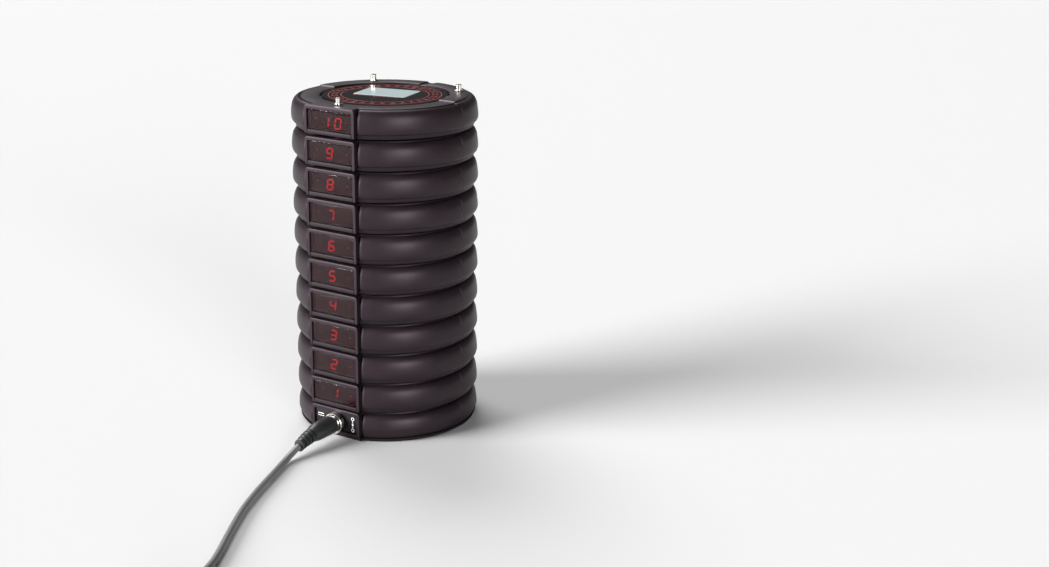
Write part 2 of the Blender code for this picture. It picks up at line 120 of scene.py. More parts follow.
@dataclass(frozen=True)
class Finish:
    """A plain Principled finish that the others build on."""

    name: str
    colour: str
    roughness: float
    metallic: float = 0.0
    ior: float = 1.5
    specular: float = 0.5
    sheen_tint: str = "#ffffff"

    def make(self) -> bpy.types.Material:
        """Build the material, or return it if it is already made."""
        known = bpy.data.materials.get(self.name)
        if known is not None:
            return known
        material = bpy.data.materials.new(self.name)
        material.use_nodes = True
        tree = material.node_tree
        shader = tree.nodes["Principled BSDF"]
        shader.inputs["Base Color"].default_value = linear(self.colour)
        shader.inputs["Roughness"].default_value = self.roughness
        shader.inputs["Metallic"].default_value = self.metallic
        shader.inputs["IOR"].default_value = self.ior
        shader.inputs["Specular IOR Level"].default_value = self.specular
        shader.inputs["Specular Tint"].default_value = linear(self.sheen_tint)
        material.diffuse_color = linear(self.colour)
        self.detail(tree, shader)
        return material

    def detail(self, tree: Any, shader: Any) -> None:
        """Add the finish's own texture; the plain finish has none."""

    def noise(self, tree: Any, scale: tuple[float, float, float], detail: float) -> Any:
        """Noise in the model's frame with its own number of waves per metre along each axis."""
        where = add_node(tree, "ShaderNodeTexCoord").outputs["Object"]
        placed = feed(tree, "ShaderNodeMapping", {"Scale": scale}, {"Vector": where})
        return feed(tree, "ShaderNodeTexNoise", {"Scale": 1.0, "Detail": detail}, {"Vector": placed})

    def polish(self, tree: Any, shader: Any, pattern: Any, below: float, above: float) -> None:
        """Vary the roughness with a pattern, from this much below the finish's own to this much above."""
        span = {"To Min": self.roughness - below, "To Max": self.roughness + above}
        tree.links.new(feed(tree, "ShaderNodeMapRange", span, {"Value": pattern}), shader.inputs["Roughness"])

    def shade(self, tree: Any, shader: Any, pattern: Any, stops: Sequence[tuple[float, str]]) -> None:
        """Colour the surface by a pattern between two stops, each a position and a hex colour."""
        shades = add_node(tree, "ShaderNodeValToRGB", {}, {"Fac": pattern})
        for element, (position, colour) in zip(shades.color_ramp.elements, stops):
            element.position = position
            element.color = linear(colour)
        tree.links.new(shades.outputs["Color"], shader.inputs["Base Color"])

    def bump(self, tree: Any, shader: Any, pattern: Any, depth_mm: float, strength: float) -> None:
        """Raise the surface by a pattern to a depth, of which the strength is the share that shows."""
        relief = {"Strength": strength, "Distance": depth_mm * MM}
        tree.links.new(feed(tree, "ShaderNodeBump", relief, {"Height": pattern}), shader.inputs["Normal"])

    def grain(self, tree: Any, shader: Any, grain_mm: float, depth_mm: float, strength: float) -> None:
        """Bump the surface with a fine even grain of this width and depth."""
        waves = 1.0 / (grain_mm * MM)
        self.bump(tree, shader, self.noise(tree, (waves, waves, waves), 2.0), depth_mm, strength)

    def mottle(self, tree: Any, shader: Any, patch_mm: float, shades: tuple[str, str], share: float) -> None:
        """Vary the base colour and the polish softly.

        Args:
            tree: Material node tree.
            shader: Principled node.
            patch_mm: Size of a patch of one shade.
            shades: Darker and lighter shade.
            share: Roughness change across the pattern.
        """
        waves = 1.0 / (patch_mm * MM)
        pattern = self.noise(tree, (waves, waves, waves), 4.0)
        self.shade(tree, shader, pattern, ((0.3, shades[0]), (0.7, shades[1])))
        self.polish(tree, shader, pattern, share, share)


@dataclass(frozen=True)
class MouldedAbs(Finish):
    """Spark-eroded moulded ABS: even satin with a fine leathery grain that spreads each highlight."""

    darker: str = "#4a4047"
    lighter: str = "#554a51"
    grain_mm: float = 0.55

    def detail(self, tree: Any, shader: Any) -> None:
        """Mottle the shade over a centimetre and add the mould's grain, drawn at 0.55 mm so that it shows."""
        self.mottle(tree, shader, 11.0, (self.darker, self.lighter), 0.03)
        self.grain(tree, shader, self.grain_mm, 0.02, 0.35)


@dataclass(frozen=True)
class SmokedAcrylic(Finish):
    """Smoked acrylic, deep red-black: mirror smooth, it hides the module behind until a segment lights."""

    cover: float = 0.5

    def detail(self, tree: Any, shader: Any) -> None:
        """Cover part of what lies behind the pane, and add faint wiping marks."""
        shader.inputs["Alpha"].default_value = self.cover
        self.polish(tree, shader, self.noise(tree, (60.0, 60.0, 900.0), 3.0), 0.0, 0.05)


@dataclass(frozen=True)
class LitSegment(Finish):
    """Red light-emitting segment behind its diffuser: an even glow with a faint fine grain."""

    strength: float = 6.0

    def detail(self, tree: Any, shader: Any) -> None:
        """Make the segment glow in its own colour."""
        shader.inputs["Emission Color"].default_value = linear(self.colour)
        shader.inputs["Emission Strength"].default_value = self.strength
        self.grain(tree, shader, 0.4, 0.01, 0.2)


@dataclass(frozen=True)
class PrintedFilm(Finish):
    """Printed film, ink or sheet: one flat colour under a smooth face, from near-black to white."""

    def detail(self, tree: Any, shader: Any) -> None:
        """Add the slight orange peel of the film."""
        self.grain(tree, shader, 1.4, 0.012, 0.3)


@dataclass(frozen=True)
class NickelPlate(Finish):
    """Bright nickel on turned brass: faintly warm, with fine turning marks that stretch each highlight."""

    mark_mm: float = 0.12

    def detail(self, tree: Any, shader: Any) -> None:
        """Bump the surface with turning marks stacked along Z and vary its polish."""
        marks = self.noise(tree, (40.0, 40.0, 1.0 / (self.mark_mm * MM)), 2.0)
        self.bump(tree, shader, marks, 0.004, 0.25)
        self.polish(tree, shader, marks, 0.05, 0.07)


@dataclass(frozen=True)
class SolderMask(Finish):
    """Green solder mask over copper tracks: glossy lacquer, lighter where a track runs beneath."""

    def detail(self, tree: Any, shader: Any) -> None:
        """Draw tracks as the cell borders of a square pattern, 2.5 mm apart."""
        where = add_node(tree, "ShaderNodeTexCoord").outputs["Object"]
        kind = {"feature": "DISTANCE_TO_EDGE", "distance": "CHEBYCHEV"}
        cells = feed(
            tree, "ShaderNodeTexVoronoi", kind | {"Scale": 400.0, "Randomness": 0.8}, {"Vector": where}
        )
        self.shade(tree, shader, cells, ((0.06, "#3f8f56"), (0.1, self.colour)))


@dataclass(frozen=True)
class SoftVinyl(Finish):
    """Extruded or moulded soft PVC: dark, slightly waxy, with a low even sheen."""

    def detail(self, tree: Any, shader: Any) -> None:
        """Vary the polish over a few millimetres and add a barely raised skin texture."""
        self.mottle(tree, shader, 6.0, (self.colour, self.colour), 0.06)
        self.grain(tree, shader, 0.5, 0.01, 0.3)


@dataclass(frozen=True)
class FoilPouch(Finish):
    """Aluminised pouch of a flat lithium cell: silvery, with shallow creases."""

    def detail(self, tree: Any, shader: Any) -> None:
        """Crease the foil at about 3 mm."""
        self.grain(tree, shader, 3.0, 0.15, 0.4)


@dataclass(frozen=True)
class StudioPaper(Finish):
    """Pale seamless paper for the floor."""

    def detail(self, tree: Any, shader: Any) -> None:
        """Give the paper a faint tooth."""
        self.grain(tree, shader, 1.0, 0.02, 0.1)


class Finishes:
    """The object's finishes, one for each real material."""

    # Dark aubergine satin: soft broad highlights with a faint purple cast.
    body = MouldedAbs(
        "aubergine moulded ABS", "#1c1519", 0.43, ior=1.5, specular=0.3, sheen_tint="#ffeaf4",
        darker="#191217", lighter="#1f171b",
    )
    # The same plastic, darker and duller: painted shade for the trays and feet that sit in shadow.
    case = MouldedAbs(
        "aubergine moulded ABS, painted shade", "#171114", 0.5, ior=1.5, specular=0.3, sheen_tint="#ffeaf4",
        darker="#140f12", lighter="#191316",
    )
    # Deep red-black gloss that hides the module until a segment lights.
    pane = SmokedAcrylic("smoked red-black acrylic", "#1e0409", 0.06, ior=1.49, cover=0.55)
    # Flat near-black ground behind the lit bars.
    module = PrintedFilm("black display module", "#140305", 0.7, ior=1.5)
    # Saturated red glow of the number.
    segment = LitSegment("lit red segment", "#ff0a05", 0.4, strength=1.7)
    # Small paler dots beside the number.
    indicator = LitSegment("dim indicator light", "#ff8a80", 0.4, strength=0.55)
    # Near-black gloss film on the lid.
    badge = PrintedFilm("black printed badge film", "#060607", 0.16, ior=1.5, specular=0.25)
    # Thin dark red rings and ticks printed on the film.
    badge_red = PrintedFilm("red printed badge ink", "#860f1a", 0.4, ior=1.5)
    # Pale blue-grey pane, the brightest patch of the lid.
    badge_pane = PrintedFilm("pale blue-grey pane", "#b4c3c5", 0.14, ior=1.5)
    # Bright warm metal on studs, socket and ring nut.
    nickel = NickelPlate("bright nickel plate", "#e6e0da", 0.24, metallic=1.0)
    # Green lacquer with lighter tracks, seen only when the stack is opened.
    board = SolderMask("green solder mask", "#1f6b3b", 0.3, ior=1.55)
    # Yellow contacts inside the USB shell.
    gold = NickelPlate("gold-plated contact", "#d8a648", 0.22, metallic=1.0)
    # Dull black of the front panel, buzzer and switch.
    black = MouldedAbs(
        "black moulded ABS", "#110c0e", 0.5, ior=1.5, specular=0.25, darker="#0f0b0d", lighter="#130e10",
    )
    # Soft black of the plugs, tie and rubber feet.
    vinyl = SoftVinyl("black soft vinyl plug", "#232625", 0.42, ior=1.53)
    # Mid-grey lead with a long soft highlight.
    jacket = SoftVinyl("dark grey vinyl jacket", "#6a6a6b", 0.32, ior=1.53)
    # Off-white print on the front panel and the USB tongue.
    white_ink = PrintedFilm("white printed ink", "#dcdada", 0.5, ior=1.5)
    # Creased silver of the battery.
    pouch = FoilPouch("silver battery pouch", "#a9abae", 0.32, metallic=0.8)
    # Cool drawn metal of the motor, screws and USB shell.
    steel = NickelPlate("drawn steel can", "#b4b4b6", 0.3, metallic=1.0)
    # Pale matt floor.
    paper = StudioPaper("pale studio paper", "#c9c9c9", 0.9)


# --- Mesh helpers ---


def polar(radius: float, angle: float, height: float) -> tuple[float, float, float]:
    """Point at a radius and an angle round the stack's axis, in millimetres."""
    turn = math.radians(angle)
    return (radius * math.sin(turn), -radius * math.cos(turn), height)


def shift(x: float, y: float, z: float) -> Matrix:
    """Translation in metres by distances in millimetres."""
    return Matrix.Translation(Vector((x, y, z)) * MM)


def metres(matrix: Matrix) -> Matrix:
    """A rigid placement in metres from one whose translation is in millimetres."""
    return Matrix.Translation(matrix.to_translation() * MM) @ matrix.to_3x3().to_4x4()


def link(name: str, data: Any) -> bpy.types.Object:
    """New object with this data, linked to the scene."""
    made = bpy.data.objects.new(name, data)
    bpy.context.scene.collection.objects.link(made)
    return made


def facet(angle: float, depth: float) -> float:
    """Radius at an angle of the flat plane that lies this far in front of the axis."""
    return depth / math.cos(math.radians(angle))


def smooth_step(value: float) -> float:
    """Ease from 0 to 1 with level ends."""
    t = min(1.0, max(0.0, value))
    return t * t * (3.0 - 2.0 * t)


def mix(first: Section, second: Section, share: float) -> Section:
    """Blend two sections point by point."""
    return [(a[0] + (b[0] - a[0]) * share, a[1] + (b[1] - a[1]) * share) for a, b in zip(first, second)]


def mesh_from(
    name: str, vertices: Sequence[Sequence[float]], faces: Sequence[Sequence[int]]
) -> bpy.types.Mesh:
    """Mesh in metres from millimetre vertices, with its faces turned outwards.

    Args:
        name: Name of the mesh.
        vertices: Points in millimetres.
        faces: Vertex numbers of each face.

    Returns:
        The closed mesh.
    """
    mesh = bpy.data.meshes.new(name)
    mesh.from_pydata([Vector(v) * MM for v in vertices], [], faces)
    work = bmesh.new()
    work.from_mesh(mesh)
    bmesh.ops.remove_doubles(work, verts=work.verts, dist=1e-7)
    bmesh.ops.recalc_face_normals(work, faces=work.faces)
    work.to_mesh(mesh)
    work.free()
    return mesh


def revolve(name: str, angles: Sequence[float], section: Callable[[float], Section]) -> bpy.types.Mesh:
    """Solid swept round Z from a section that may change with the angle.

    Args:
        name: Name of the mesh.
        angles: Angles of the samples.
        section: Gives (radius, height) points at an angle, from pole to pole or as a closed loop.

    Returns:
        The closed mesh.
    """
    rows = [section(angle) for angle in angles]
    poles = rows[0][0][0] == 0.0
    vertices: list[tuple[float, float, float]] = []
    rings: list[list[int]] = []
    for angle, row in zip(angles, rows):
        points = row[1:-1] if poles else row
        rings.append(list(range(len(vertices), len(vertices) + len(points))))
        vertices += [polar(radius, angle, height) for radius, height in points]
    faces: list[tuple[int, ...]] = []
    count = len(rings[0])
    for ring, following in zip(rings, rings[1:] + rings[:1]):
        for k in range(count - 1 if poles else count):
            m = (k + 1) % count
            faces.append((ring[k], following[k], following[m], ring[m]))
    if poles:
        first = len(vertices)
        vertices += [(0.0, 0.0, rows[0][0][1]), (0.0, 0.0, rows[0][-1][1])]
        for ring, following in zip(rings, rings[1:] + rings[:1]):
            faces.append((first, following[0], ring[0]))
            faces.append((first + 1, ring[-1], following[-1]))
    return mesh_from(name, vertices, faces)


def even_angles(sides: int) -> list[float]:
    """Angles of a regular division of the circle."""
    return [360.0 * k / sides for k in range(sides)]


def lathe(name: str, section: Section, sides: int, matrix: Matrix | None = None) -> bpy.types.Mesh:
    """Turned solid of one section, moved by a matrix whose translation is in millimetres."""
    mesh = revolve(name, even_angles(sides), lambda angle: section)
    if matrix is not None:
        mesh.transform(metres(matrix))
    return mesh


def cylinder(
    name: str, radius: float, low: float, high: float, sides: int, matrix: Matrix | None = None
) -> bpy.types.Mesh:
    """Plain cylinder, used for cuts and as part of a larger shape."""
    return lathe(name, [(0.0, low), (radius, low), (radius, high), (0.0, high)], sides, matrix)


def box(name: str, low: Sequence[float], high: Sequence[float], bevel: float = 0.0) -> bpy.types.Mesh:
    """Box between two corners in millimetres, with rounded edges where a bevel is given.

    Args:
        name: Name of the mesh.
        low: Lowest corner.
        high: Highest corner.
        bevel: Radius of the edges.

    Returns:
        The closed mesh.
    """
    vertices = [(x, y, z) for x in (low[0], high[0]) for y in (low[1], high[1]) for z in (low[2], high[2])]
    faces = [(0, 1, 3, 2), (4, 6, 7, 5), (0, 4, 5, 1), (2, 3, 7, 6), (0, 2, 6, 4), (1, 5, 7, 3)]
    mesh = mesh_from(name, vertices, faces)
    if bevel > 0.0:
        work = bmesh.new()
        work.from_mesh(mesh)
        rounding = {"offset": bevel * MM, "segments": 3, "profile": 0.5, "affect": "EDGES"}
        bmesh.ops.bevel(work, geom=work.edges, clamp_overlap=True, **rounding)
        work.to_mesh(mesh)
        work.free()
    return mesh


def extrude(name: str, outline: Sequence[Point2], low: float, high: float) -> bpy.types.Mesh:
    """Flat outline in the XY plane, made solid between two heights."""
    count = len(outline)
    vertices = [(x, y, low) for x, y in outline] + [(x, y, high) for x, y in outline]
    faces = [tuple(range(count)), tuple(range(count, 2 * count))]
    faces += [(k, (k + 1) % count, count + (k + 1) % count, count + k) for k in range(count)]
    return mesh_from(name, vertices, faces)


def rounded_rectangle(half_x: float, half_y: float, radius: float, steps: int = 5) -> list[Point2]:
    """Outline of a rectangle with round corners, centred on the origin."""
    points: list[Point2] = []
    for corner, (sign_x, sign_y) in enumerate(((1, 1), (-1, 1), (-1, -1), (1, -1))):
        for k in range(steps + 1):
            turn = math.radians(90.0 * corner + 90.0 * k / steps)
            x = sign_x * (half_x - radius) + radius * math.cos(turn)
            y = sign_y * (half_y - radius) + radius * math.sin(turn)
            points.append((x, y))
    return points


def join(name: str, meshes: Sequence[bpy.types.Mesh]) -> bpy.types.Mesh:
    """One mesh that holds several, which are then removed."""
    work = bmesh.new()
    for mesh in meshes:
        work.from_mesh(mesh)
        bpy.data.meshes.remove(mesh)
    joined = bpy.data.meshes.new(name)
    work.to_mesh(joined)
    work.free()
    return joined


def combine(mesh: bpy.types.Mesh, tools: Sequence[bpy.types.Mesh], operation: str) -> bpy.types.Mesh:
    """Mesh after an exact boolean with each tool mesh.

    Args:
        mesh: The solid to change.
        tools: Solids that are added or cut away.
        operation: UNION or DIFFERENCE.

    Returns:
        The new mesh.
    """
    target = link("work", mesh)
    helpers = []
    for tool in tools:
        helper = link("tool", tool)
        modifier = target.modifiers.new("boolean", "BOOLEAN")
        modifier.operation = operation
        modifier.solver = "EXACT"
        modifier.object = helper
        helpers.append(helper)
    graph = bpy.context.evaluated_depsgraph_get()
    result = bpy.data.meshes.new_from_object(target.evaluated_get(graph))
    for helper in helpers:
        bpy.data.objects.remove(helper, do_unlink=True)
    bpy.data.objects.remove(target, do_unlink=True)
    return result


def moved(mesh: bpy.types.Mesh, height: float) -> bpy.types.Mesh:
    """Copy of a mesh raised by a height in millimetres."""
    copy = mesh.copy()
    copy.transform(shift(0.0, 0.0, height))
    return copy


@dataclass
class Piece:
    """One finished piece: its mesh, finish, the body it rides on and the CAD nodes it stands for."""

    name: str
    mesh: bpy.types.Mesh
    finish: Finish
    body: str
    slot: str
    replaces: tuple[str, ...] = ()
    sharp_angle: float = 32.0

    def place(self) -> bpy.types.Object:
        """Link the piece, dress it and tie it to its body.

        Returns:
            The piece's object, which sits at the origin.
        """
        self.mesh.name = self.name
        self.mesh.materials.clear()
        self.mesh.materials.append(self.finish.make())
        self.mesh.shade_smooth()
        self.mesh.set_sharp_from_angle(angle=math.radians(self.sharp_angle))
        piece = link(self.name, self.mesh)
        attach(piece, self.body)
        if self.replaces:
            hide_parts(*self.replaces)
        LOG.info("%s rides on %s, %d faces", self.name, self.body, len(self.mesh.polygons))
        return piece


# --- Geometry Nodes ---


class Repeater:
    """A Geometry Nodes tree with named inputs, grown into a plain mesh."""

    def __init__(self, name: str, sizes: Sequence[str], counts: Sequence[str] = ("Count",)) -> None:
        """Start the tree with its counts and sizes, a material input and one geometry output.

        Args:
            name: Name of the tree.
            sizes: Names of the inputs that are lengths.
            counts: Names of the inputs that are whole numbers.
        """
        self.tree = bpy.data.node_groups.new(name, "GeometryNodeTree")
        sockets = [(label, "Int") for label in counts] + [(label, "Float") for label in sizes]
        for label, kind in sockets + [("Material", "Material")]:
            self.tree.interface.new_socket(label, in_out="INPUT", socket_type=f"NodeSocket{kind}")
        self.tree.interface.new_socket("Geometry", in_out="OUTPUT", socket_type="NodeSocketGeometry")
        self.given = self.tree.nodes.new("NodeGroupInput").outputs

    def add(self, kind: str, settings: Values | None = None, links: Values | None = None) -> Any:
        """First output socket of a node added to this tree."""
        return feed(self.tree, kind, settings, links)

    def circle(self) -> Any:
        """As many points as the count, evenly round a circle of the input radius."""
        given = self.given
        return self.add("GeometryNodeMeshCircle", {}, {"Vertices": given["Count"], "Radius": given["Radius"]})

    def close(self, points: Any, instance: Any, turns: Values | None = None) -> None:
        """End the tree with an instance on each point, realised and dressed.

        Args:
            points: Socket of the points.
            instance: Socket of the shape to repeat.
            turns: Rotation or scale sockets by input name.
        """
        placed = {"Points": points, "Instance": instance, **(turns or {})}
        instances = self.add("GeometryNodeInstanceOnPoints", {}, placed)
        real = self.add("GeometryNodeRealizeInstances", {}, {"Geometry": instances})
        dressed = {"Geometry": real, "Material": self.given["Material"]}
        add_node(
            self.tree, "NodeGroupOutput", {}, {"Geometry": self.add("GeometryNodeSetMaterial", {}, dressed)}
        )

    def grow(self, name: str, finish: Finish, values: dict[str, Any]) -> bpy.types.Mesh:
        """Run the tree with these values.

        Args:
            name: Name of the mesh.
            finish: Finish of every copy.
            values: Whole numbers as they are, lengths in millimetres, by input name.

        Returns:
            The realised mesh.
        """
        carrier = link(name, bpy.data.meshes.new(name))
        modifier = carrier.modifiers.new("grow", "NODES")
        modifier.node_group = self.tree
        for socket in self.tree.interface.items_tree:
            if socket.in_out == "INPUT" and socket.name in values:
                value = values[socket.name]
                modifier[socket.identifier] = value if isinstance(value, int) else value * MM
            elif socket.name == "Material":
                modifier[socket.identifier] = finish.make()
        graph = bpy.context.evaluated_depsgraph_get()
        mesh = bpy.data.meshes.new_from_object(carrier.evaluated_get(graph))
        carrier.modifiers.remove(modifier)
        bpy.data.objects.remove(carrier, do_unlink=True)
        return mesh


class MarkRing(Repeater):
    """Flat marks spaced evenly round a circle, each lying along the circle."""

    def __init__(self) -> None:
        """Build the tree: a circle of points, a bar on each, turned to follow the circle."""
        super().__init__("marks round a circle", ("Radius", "Length", "Width", "Thickness"))
        given = self.given
        sides = {"X": given["Width"], "Y": given["Length"], "Z": given["Thickness"]}
        bar = self.add("GeometryNodeMeshCube", {}, {"Size": self.add("ShaderNodeCombineXYZ", {}, sides)})
        place = {0: self.add("GeometryNodeInputIndex"), 1: given["Count"]}
        share = self.add("ShaderNodeMath", {"operation": "DIVIDE"}, place)
        turn = self.add("ShaderNodeMath", {"operation": "MULTIPLY", 1: math.tau}, {0: share})
        self.close(self.circle(), bar, {"Rotation": self.add("ShaderNodeCombineXYZ", {}, {"Z": turn})})


class RibRow(Repeater):
    """Round ribs in a row along Z, changing evenly in radius from the first to the last."""

    def __init__(self) -> None:
        """Build the tree: a line of points, a disc on each, scaled by its place in the row."""
        sizes = ("Pitch", "First Radius", "Last Radius", "Thickness")
        super().__init__("ribs in a row", sizes, ("Count", "Sides"))
        given = self.given
        offset = self.add("ShaderNodeCombineXYZ", {}, {"Z": given["Pitch"]})
        line = self.add(
            "GeometryNodeMeshLine", {"mode": "OFFSET"}, {"Count": given["Count"], "Offset": offset}
        )
        disc_size = {"Depth": given["Thickness"], "Vertices": given["Sides"]}
        disc = self.add("GeometryNodeMeshCylinder", {"Radius": 1.0}, disc_size)
        last = self.add("ShaderNodeMath", {"operation": "SUBTRACT", 1: 1.0}, {0: given["Count"]})
        row = {"Value": self.add("GeometryNodeInputIndex"), "From Max": last}
        row |= {"To Min": given["First Radius"], "To Max": given["Last Radius"]}
        radius = self.add("ShaderNodeMapRange", {"From Min": 0.0}, row)
        self.close(
            line, disc, {"Scale": self.add("ShaderNodeCombineXYZ", {"Z": 1.0}, {"X": radius, "Y": radius})}
        )

    def row(
        self,
        finish: Finish,
        counts: tuple[int, int],
        pitch: float,
        radii: Point2,
        thickness: float,
        start: float,
    ) -> bpy.types.Mesh:
        """Row of ribs along Z.

        Args:
            finish: Finish of the ribs.
            counts: Number of ribs and of the sides of each.
            pitch: Distance from one rib to the next.
            radii: Radius of the first and of the last rib.
            thickness: Thickness of each rib.
            start: Height of the first rib's middle.

        Returns:
            The ribs as one mesh.
        """
        values = {"Count": counts[0], "Sides": counts[1], "Pitch": pitch, "Thickness": thickness}
        mesh = self.grow("ribs", finish, values | {"First Radius": radii[0], "Last Radius": radii[1]})
        mesh.transform(shift(0.0, 0.0, start))
        return mesh


class ScrewCircle(Repeater):
    """Cross-recessed screw heads spaced evenly round a circle, facing down."""

    def __init__(self) -> None:
        """Build the tree: a head with a cross cut from it, copied to each point of a circle."""
        super().__init__("screws round a circle", ("Radius", "Head Radius", "Head Height"))
        given = self.given
        size = {"Radius": given["Head Radius"], "Depth": given["Head Height"]}
        head = self.add("GeometryNodeMeshCylinder", {"Vertices": 24}, size)
        cut = add_node(self.tree, "GeometryNodeMeshBoolean", {"operation": "DIFFERENCE"}, {"Mesh 1": head})
        for arm in ((2.2 * MM, 0.5 * MM, 0.8 * MM), (0.5 * MM, 2.2 * MM, 0.8 * MM)):
            slot = self.add("GeometryNodeMeshCube", {"Size": arm})
            low = self.add(
                "GeometryNodeTransform", {"Translation": (0.0, 0.0, -0.55 * MM)}, {"Geometry": slot}
            )
            self.tree.links.new(low, cut.inputs["Mesh 2"])
        self.close(self.circle(), cut.outputs["Mesh"])


# --- Outline shared by the pagers and the base ---


@dataclass(frozen=True)
class Outline:
    """Plan of a pager: a round rim with a flat display block in front, two soft bumpers and a raised rear."""

    facet_depth: float = 46.2
    block_edge: float = 18.55
    groove_end: float = 19.2
    bumper_full: float = 20.9
    side_step: float = 90.0
    back_notch: float = 176.2
    recess_radius: float = 33.1
    wall_inner: float = 45.0
    facet_inner: float = 44.2

    def angles(self) -> list[float]:
        """Sample angles, dense where the outline turns a corner."""
        half = [2.0 * k for k in range(1, 9)] + [16.9, 17.5, 18.0, 18.3]
        half += [self.block_edge, 18.66, 18.9, self.groove_end]
        half += [19.4, 19.65, 19.95, 20.4, self.bumper_full]
        half += [22.0 + 2.0 * k for k in range(34)]
        half += [89.4, self.side_step, 90.35, 90.7, 91.0, 91.3]
        half += [92.0 + 2.0 * k for k in range(42)]
        half += [175.4, 175.8, self.back_notch, 176.6, 178.2]
        return [0.0] + half + [180.0] + [-angle for angle in reversed(half)]

    def bulge(self, angle: float) -> float:
        """Share of the bumper's bulge at an angle: none in the grooves, all of it away from them."""
        size = abs(angle)
        start = smooth_step((size - self.groove_end) / (self.bumper_full - self.groove_end)) ** 0.6
        end = 1.0 - smooth_step((size - 175.6) / (self.back_notch + 0.4 - 175.6))
        return min(start, end)

    def rear(self, angle: float) -> float:
        """Share of the raised rear deck at an angle."""
        size = abs(angle)
        rise = smooth_step((size - self.side_step) / 0.35)
        fall = 1.0 - smooth_step((size - 175.8) / 0.4)
        return min(rise, fall)

    def seam(self, angle: float) -> float:
        """Depth of the upright seam between the front and the rear bumper."""
        return 0.35 * max(0.0, 1.0 - abs(abs(angle) - 91.0) / 0.3)


@dataclass(frozen=True)
class ShellHeights:
    """Heights of a shell above its own seat plane."""

    deck: float = 15.1
    raised_deck: float = 15.8
    recess_floor: float = 13.7
    block_top: float = 15.1
    block_bottom: float = 0.8
    wall_bottom: float = 2.9
    ceiling: float = 12.3
    foot_taper: float = 0.0


